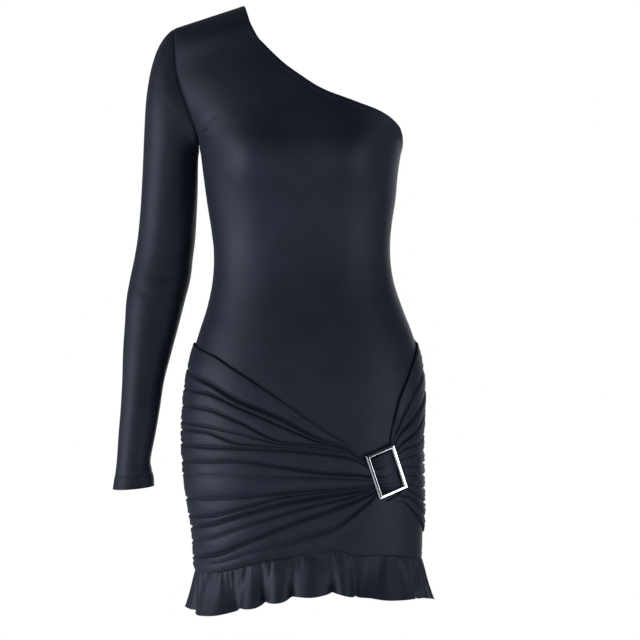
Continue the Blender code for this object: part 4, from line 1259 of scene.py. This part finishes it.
class DressSettings(bpy.types.PropertyGroup):
    """Sizes of the dress's fine detail."""

    fold_depth: bpy.props.FloatProperty(
        name="Fold depth", description="Depth of the wraps' creases", default=1.2, min=0.0, max=2.0
    )
    ruffle_lean: bpy.props.FloatProperty(
        name="Ruffle lean", description="How far each wave of the ruffle rounds over its neighbour",
        default=0.20, min=0.0, max=0.3, subtype="FACTOR",
    )
    stitch_pitch: bpy.props.FloatProperty(
        name="Stitch pitch", description="From one stitch to the next", default=0.0030, unit="LENGTH"
    )
    stitch_length: bpy.props.FloatProperty(
        name="Stitch length", description="Length of one stitch", default=0.0022, unit="LENGTH"
    )
    thread_width: bpy.props.FloatProperty(
        name="Thread width", description="Thickness of the thread", default=0.00030, unit="LENGTH"
    )
    seed: bpy.props.IntProperty(name="Seed", description="Places the fine gathers", default=7)


class DRESS_OT_body(bpy.types.Operator):
    """Builds the front and the back"""

    bl_idname = "dress.body"
    bl_label = "Build front and back"

    def execute(self, context):
        finish_cloth(panel("front_cloth", False), "front_panel")
        finish_cloth(panel("back_cloth", True), "back_panel")
        return {"FINISHED"}


class DRESS_OT_sleeve(bpy.types.Operator):
    """Builds the sleeve"""

    bl_idname = "dress.sleeve"
    bl_label = "Build sleeve"

    def execute(self, context):
        finish_cloth(sleeve(), "sleeve")
        return {"FINISHED"}


class DRESS_OT_wraps(bpy.types.Operator):
    """Builds the two gathered wraps"""

    bl_idname = "dress.wraps"
    bl_label = "Build wraps"

    def execute(self, context):
        settings = context.scene.dress_settings
        wide = wide_wrap(settings.fold_depth, settings.seed)
        finish_cloth(wide, "wide_wrap")
        narrow = narrow_wrap(settings.fold_depth, settings.seed)
        finish_cloth(narrow, "narrow_wrap")
        return {"FINISHED"}


class DRESS_OT_ruffles(bpy.types.Operator):
    """Builds the front and back ruffles and their rolled hems"""

    bl_idname = "dress.ruffles"
    bl_label = "Build ruffles"

    def execute(self, context):
        settings = context.scene.dress_settings
        lean = settings.ruffle_lean
        front, front_hem = ruffle("ruffle_front_cloth", FRONT_WAVES, False, lean, settings.seed + 20)
        back, back_hem = ruffle("ruffle_back_cloth", BACK_WAVES, True, lean, settings.seed + 30)
        finish_cloth(front, "ruffle_front")
        finish_cloth(back, "ruffle_back")
        hem = tube_mesh("rolled_hem", [front_hem, back_hem], 0.0006, thread())
        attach(hem, "root")
        return {"FINISHED"}


class DRESS_OT_buckle(bpy.types.Operator):
    """Builds the buckle"""

    bl_idname = "dress.buckle"
    bl_label = "Build buckle"

    def execute(self, context):
        piece = buckle()
        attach(piece, "root")
        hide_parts("buckle")
        return {"FINISHED"}


class DRESS_OT_stitching(bpy.types.Operator):
    """Sews the neckline, the cuff and the underskirt's band"""

    bl_idname = "dress.stitching"
    bl_label = "Build stitching"

    def execute(self, context):
        settings = context.scene.dress_settings
        lift = settings.thread_width * 0.2
        neck = neck_path(160)[4:-2]
        across = np.linspace(-88, 88, 200)
        rows = []
        for name, back in (("front_cloth", False), ("back_cloth", True)):
            piece = bpy.data.objects[name]
            toward = -1 if back else 1
            rows.append(seated(inset_line(neck, back, NECK_HEM, toward), piece, lift))
            hem = np.stack([across, hem_level(across, back)], -1)
            rows.append(seated(inset_line(hem, back, BAND_HEIGHT, toward), piece, lift))
        stitches("hem_stitching", rows, settings)
        stitches("cuff_stitching", cuff_lines(bpy.data.objects["sleeve_cloth"], lift), settings)
        return {"FINISHED"}


def cuff_lines(piece, lift):
    """Two rows round the cuff, on the sleeve's own face."""
    last = through(SLEEVE, [len(SLEEVE) - 1.0])[0] * MILLIMETRE
    before = through(SLEEVE, [len(SLEEVE) - 3.0])[0] * MILLIMETRE
    turns = np.linspace(0, 2 * math.pi, 121)
    lines = []
    for row in range(2):
        rise = CUFF_HEM - row * CUFF_ROWS_APART
        run = before[3] - last[3]
        share = rise / run
        ring = last + (before - last) * share
        outer = np.array([ring[0], ring[5], ring[1]])
        inner = np.array([ring[2], ring[5], ring[3]])
        middle = (outer + inner) / 2
        out = np.cos(turns)[:, None] * (outer - middle) - np.sin(turns)[:, None] * np.array([0, ring[4], 0])
        ways = out / np.linalg.norm(out, axis=1, keepdims=True)
        lines.append(seated(list(zip(middle + out, ways)), piece, lift))
    return lines


class DRESS_OT_stage(bpy.types.Operator):
    """Sets the floor, the lights and the camera"""

    bl_idname = "dress.stage"
    bl_label = "Set stage"

    def execute(self, context):
        studio_floor()
        studio_world()
        aim = (0.12, 0.0, -0.40)
        area_light("key", (-2.9, -1.1, -0.6), aim, (1.6, 2.2), 86, "#f4f8ff")
        area_light("front", (0.2, -3.3, -1.2), aim, (1.6, 1.0), 16, "#f4f8ff")
        area_light("fill", (2.4, -1.3, -0.6), aim, (1.0, 2.0), 22, "#f4f8ff")
        area_light("card for the buckle", (2.11, -1.62, -1.28), aim, (0.8, 1.1), 5, "#ffffff")
        area_light("behind", (0.9, 3.2, -0.3), aim, (2.4, 2.4), 30, "#f4f8ff")
        camera = bpy.data.cameras.new("photograph")
        camera.sensor_width = 36.0
        camera.lens = 126.9
        holder = link("photograph", camera)
        holder.location = (0.1481, -3.008, -0.287)
        look = Vector((0.1481, -0.008, -0.400)) - holder.location
        holder.rotation_euler = look.to_track_quat("-Z", "Y").to_euler()
        context.scene.camera = holder
        context.scene.view_settings.view_transform = "Standard"
        return {"FINISHED"}


class DRESS_PT_sidebar(bpy.types.Panel):
    """Settings and steps of the dress"""

    bl_label = "Dress"
    bl_idname = "DRESS_PT_sidebar"
    bl_space_type = "VIEW_3D"
    bl_region_type = "UI"
    bl_category = "Dress"

    def draw(self, context):
        column = self.layout.column()
        settings = context.scene.dress_settings
        for name in ("fold_depth", "ruffle_lean", "stitch_pitch", "stitch_length", "thread_width", "seed"):
            column.prop(settings, name)
        for step in STEPS:
            column.operator(step.bl_idname)


STEPS = (
    DRESS_OT_body,
    DRESS_OT_sleeve,
    DRESS_OT_wraps,
    DRESS_OT_ruffles,
    DRESS_OT_buckle,
    DRESS_OT_stitching,
    DRESS_OT_stage,
)


def register():
    for kind in (DressSettings, *STEPS, DRESS_PT_sidebar):
        bpy.utils.register_class(kind)
    bpy.types.Scene.dress_settings = bpy.props.PointerProperty(type=DressSettings)


def unregister():
    del bpy.types.Scene.dress_settings
    for kind in (DRESS_PT_sidebar, *reversed(STEPS), DressSettings):
        bpy.utils.unregister_class(kind)


def main():
    register()
    bpy.ops.dress.body()
    bpy.ops.dress.sleeve()
    bpy.ops.dress.wraps()
    bpy.ops.dress.ruffles()
    bpy.ops.dress.buckle()
    bpy.ops.dress.stitching()
    bpy.ops.dress.stage()


if __name__ == "__main__":
    main()
